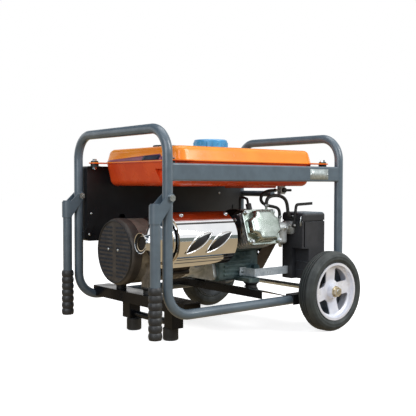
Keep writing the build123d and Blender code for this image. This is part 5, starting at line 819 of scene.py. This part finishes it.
# Rubber mounts: flared lips where the rubber is pressed between seat and foot, as (place, axis, inner
# radius, width); bulge and waist are (out, along); an engine mount's lower lip leans with its seat
down, slope = (0, 0, -1), (0.342, 0, 0.94)
mount = {"bulge": (0.5, 2), "waist": (3, 5), "high": 9, "sides": 32,
    "lips": [((81, -130, 149.6), down, 18, 6), ((81, -130, 128.3), slope, 18, 5),
        ((81, 130, 149.6), down, 18, 6), ((81, 130, 128.3), slope, 18, 5),
        ((-241, -30, 149.6), down, 16, 5), ((-241, 120, 149.6), down, 16, 5)]}
bulge, waist = mount["bulge"], mount["waist"]
bm = bmesh.new()
for place, axis, inner, lip in mount["lips"]:
    latheInto(bm, [(inner, 0), (inner + lip, 0), (inner + lip + bulge[0], bulge[1]),
            (inner + waist[0], waist[1]), (inner, mount["high"]), (inner, 0)],
        axisMatrix(at(*place), axis), mount["sides"])
addPiece("mountFlares", bm, "rubberBlack")
print("stage: engine dressed")

# Wheels: a pressed disc closes the inner side of each rim, from the hub to the barrel's end; its dark
# slate colour is painted shade
disc = {"barrelEnd": 13, "segments": 64, "profile": [(21.9, 0.8), (38, 0.8), (46, -4.2), (70, -4.2),
        (78, 0.8), (85.8, 0.8), (85.8, -0.1), (81.5, -0.1), (77, -0.7), (69, -5.7), (45, -5.7),
        (37, -0.7), (21.9, -0.7), (21.9, 0.8)]}
for body, rimName in (("wheel_near", "near_rim"), ("wheel_far", "far_rim")):
    rimLow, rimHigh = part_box(rimName)
    inward = 1 if rimLow.y < 0 else -1
    innerY = rimHigh.y if inward > 0 else rimLow.y
    place = Vector(((rimLow.x + rimHigh.x) / 2, innerY - inward * disc["barrelEnd"] * mm,
            (rimLow.z + rimHigh.z) / 2))
    # the disc's dark slate colour is painted shade inside the rim
    lathePiece(f"{rimName}BackDisc", disc["profile"], axisMatrix(place, (0, inward, 0)),
        disc["segments"], "slateDiscPaintedShade", body)
print("stage: wheels closed")

# Dials: fuel gauge on the tank's top, voltmeter on the panel. Pairs are for long and short ticks,
# lengths along a ray are shares of the dial's radius, the rest is in millimetres.
rule = {"cardThick": 0.25, "cardSegments": 40, "sweep": 150, "ticks": 13, "longEvery": 3,
    "tickInner": (0.66, 0.74), "tickOuter": 0.86, "tickHalf": (0.9, 0.5), "tickThick": 0.15,
    "needleTail": 0.2, "needleTip": 0.8, "needleTaper": 0.3, "needleThick": 0.4, "lift": 0.2}
dials = {
    "fuelDial": dict(place=(-159, 0, 573.6), axis=(0, 0, 1), up=(-1, 0, 0), radius=27, needle=0.3),
    "voltDial": dict(place=(61, 257.3, 393.75), axis=(0, 1, 0), up=(0, 0, 1), radius=19, needle=0.55),
}


def dialRay(out, rise, share):
    # the direction from a dial's middle at a share of the sweep, and the one across it
    turn = math.radians(rule["sweep"] * (share - 0.5))
    ray = rise * math.cos(turn) + rise.cross(out) * math.sin(turn)
    return ray, ray.cross(out) * mm


for name, dial in dials.items():
    place, out, rise = at(*dial["place"]), Vector(dial["axis"]), Vector(dial["up"])
    foot = place + out * rule["lift"] * mm
    reach = dial["radius"] * mm
    lathePiece(name + "Card", [(0, 0), (dial["radius"], 0), (dial["radius"], rule["cardThick"]),
            (0, rule["cardThick"])], axisMatrix(place, dial["axis"]), rule["cardSegments"],
        "printedCard")
    marks, pointer = bmesh.new(), bmesh.new()
    for tick in range(rule["ticks"]):
        ray, across = dialRay(out, rise, tick / (rule["ticks"] - 1))
        kind = 0 if tick % rule["longEvery"] == 0 else 1
        wide = across * rule["tickHalf"][kind]
        inner, outer = ray * reach * rule["tickInner"][kind], ray * reach * rule["tickOuter"]
        slabInto(marks, [foot + inner - wide, foot + outer - wide, foot + outer + wide,
                foot + inner + wide], out, rule["tickThick"])
    ray, across = dialRay(out, rise, dial["needle"])
    tail, tip = -ray * reach * rule["needleTail"], ray * reach * rule["needleTip"]
    thin = across * rule["needleTaper"]
    slabInto(pointer, [foot + tail - across, foot + tail + across, foot + tip + thin,
            foot + tip - thin], out, rule["needleThick"])
    addPiece(name + "Ticks", marks, "absBlack", smooth=False)
    addPiece(name + "Needle", pointer, "printInkRed", smooth=False)

# Panel: screws round it and round both outlets, pointer on the switch knob
panel = {"face": 250.8, "xs": (-294, 17, 329), "zs": (290, 498), "screwSize": 0.8, "row": 393.75,
    "outlets": (-129, -39), "outletFace": 257, "outletHalf": 29, "outletScrewSize": 0.6}
panelOut = Vector((0, 1, 0))
fastenerSet("panelScrews", "screw", [at(x, panel["face"], z) for x in panel["xs"] for z in panel["zs"]],
    panelOut, panel["screwSize"])
sides = (-panel["outletHalf"], panel["outletHalf"])
places = [at(x + across, panel["outletFace"], panel["row"] + up) for x in panel["outlets"]
    for across in sides for up in sides]
fastenerSet("outletScrews", "screw", places, panelOut, panel["outletScrewSize"])
mark = {"x": 241, "y": 264.9, "half": 1.2, "from": 3, "to": 12, "thick": 0.3}
bm = bmesh.new()
slabInto(bm, [at(mark["x"] + side * mark["half"], mark["y"], panel["row"] + mark[end])
        for side, end in ((-1, "from"), (1, "from"), (1, "to"), (-1, "to"))], panelOut, mark["thick"])
addPiece("switchMark", bm, "printedCard", "switch", smooth=False)
print("stage: panel dressed")


def lookFrom(place, forward):
    # cameras and lamps look along their own minus Z
    return Matrix.Translation(place) @ forward.to_track_quat("-Z", "Y").to_matrix().to_4x4()


# Camera: the photograph's place, height and lens, angles in degrees
camera = {"place": (-1.4264, -1.7576, 0.4559), "yaw": 39.28, "pitch": 1.93, "roll": 0.09, "lens": 61.08,
    "sensor": 36.0, "clipEnd": 50}
lensData = bpy.data.cameras.new("photoCamera")
lensData.lens = camera["lens"]
lensData.sensor_width = camera["sensor"]
lensData.clip_end = camera["clipEnd"]
photoCamera = linked("photoCamera", lensData)
yaw, pitch = math.radians(camera["yaw"]), math.radians(camera["pitch"])
forward = Vector((math.sin(yaw) * math.cos(pitch), math.cos(yaw) * math.cos(pitch), -math.sin(pitch)))
roll = Matrix.Rotation(math.radians(camera["roll"]), 4, "Z")
photoCamera.matrix_world = lookFrom(Vector(camera["place"]), forward) @ roll
scene.camera = photoCamera

# Stage: white paper floor that keeps the shadow, a white world to whatever looks at it, cards that
# only reflections see, and three soft lamps
stageSet = {"floorSize": 30.0, "paper": "#f2f2f2", "bounce": "#a8977c", "glow": 0.74, "sky": "#eef1f5",
    "skyStrength": 0.36}
white = (1, 1, 1, 1)


def looksShare(tree):
    # one for camera, glossy and transmission rays, nought for the rest
    path = addNode(tree, "ShaderNodeLightPath")
    first = addNode(tree, "ShaderNodeMath", {"operation": "MAXIMUM"},
        {0: path.outputs["Is Camera Ray"], 1: path.outputs["Is Glossy Ray"]})
    return addNode(tree, "ShaderNodeMath", {"operation": "MAXIMUM"},
        {0: first.outputs[0], 1: path.outputs["Is Transmission Ray"]}).outputs[0]


world = bpy.data.worlds.new("studioWorld")
scene.world = world
world.use_nodes = True
worldTree = world.node_tree
worldTree.nodes.clear()
dim = addNode(worldTree, "ShaderNodeBackground",
    {"Color": hexToLinear(stageSet["sky"]), "Strength": stageSet["skyStrength"]})
bright = addNode(worldTree, "ShaderNodeBackground", {"Color": white, "Strength": 1.0})
worldMix = addNode(worldTree, "ShaderNodeMixShader", None,
    {0: looksShare(worldTree), 1: dim.outputs[0], 2: bright.outputs[0]})
addNode(worldTree, "ShaderNodeOutputWorld", None, {"Surface": worldMix.outputs[0]})


def stageSheet(name, corners):
    # one flat quad that belongs to the stage
    mesh = bpy.data.meshes.new(name)
    mesh.from_pydata(corners, [], [(0, 1, 2, 3)])
    sheet = linked(name, mesh)
    material = bareMaterial(name)
    mesh.materials.append(material)
    return sheet, material.node_tree


half = stageSet["floorSize"] / 2
floorCorners = [(-half, -half, 0), (half, -half, 0), (half, half, 0), (-half, half, 0)]
floorTree = stageSheet("paperFloor", floorCorners)[1]
paper = addNode(floorTree, "ShaderNodeBsdfDiffuse", {"Color": hexToLinear(stageSet["paper"])})
glow = addNode(floorTree, "ShaderNodeEmission", {"Color": white, "Strength": stageSet["glow"]})
paperGlow = addNode(floorTree, "ShaderNodeAddShader", None, {0: paper.outputs[0], 1: glow.outputs[0]})
bounce = addNode(floorTree, "ShaderNodeBsdfDiffuse", {"Color": hexToLinear(stageSet["bounce"])})
floorMix = addNode(floorTree, "ShaderNodeMixShader", None,
    {0: looksShare(floorTree), 1: bounce.outputs[0], 2: paperGlow.outputs[0]})
addNode(floorTree, "ShaderNodeOutputMaterial", None, {"Surface": floorMix.outputs[0]})

# Cards that only reflections see: warm ground, dark room above and behind, greys to the sides
cards = {
    "groundCard": dict(corners=[(-5, -5, 0.004), (5, -5, 0.004), (5, 5, 0.004), (-5, 5, 0.004)],
        colour="#c6b190", strength=0.8),
    "ceilingCard": dict(corners=[(-4, 0.6, 2.6), (4, 0.6, 2.6), (4, 4, 2.6), (-4, 4, 2.6)],
        colour="#39454e", strength=1.0),
    "sideCard": dict(corners=[(-4.5, -1, 0), (-4.5, 5, 0), (-4.5, 5, 2.3), (-4.5, -1, 2.3)],
        colour="#7d8890", strength=1.0),
    "roomStrip": dict(corners=[(-6, -4.6, 0.05), (6, -4.6, 0.05), (6, -4.6, 1.2), (-6, -4.6, 1.2)],
        colour="#767d79", strength=1.0),
}
for name, card in cards.items():
    sheet, cardTree = stageSheet(name, card["corners"])
    lit = addNode(cardTree, "ShaderNodeEmission",
        {"Color": hexToLinear(card["colour"]), "Strength": card["strength"]})
    addNode(cardTree, "ShaderNodeOutputMaterial", None, {"Surface": lit.outputs[0]})
    for ray in ("camera", "diffuse", "transmission", "shadow"):
        setattr(sheet, "visible_" + ray, False)

# Lamps: soft squares that all look at the middle of the generator
lamps = {
    "keyLamp": dict(place=(1.2, -2.8, 2.4), size=1.8, power=80, tint="#ffffff"),
    "fillLamp": dict(place=(-2.8, -1.4, 1.6), size=2.2, power=46, tint="#f6f8ff"),
    "topLamp": dict(place=(0.2, 0.4, 3.0), size=2.4, power=30, tint="#ffffff"),
}
aimAt = Vector((0.0, 0.0, 0.3))
for name, lamp in lamps.items():
    light = bpy.data.lights.new(name, "AREA")
    light.size = lamp["size"]
    light.energy = lamp["power"]
    light.color = hexToLinear(lamp["tint"])[:3]
    spot = Vector(lamp["place"])
    linked(name, light).matrix_world = lookFrom(spot, aimAt - spot)
scene.view_settings.view_transform = "Standard"
print("stage: camera and lamps set")
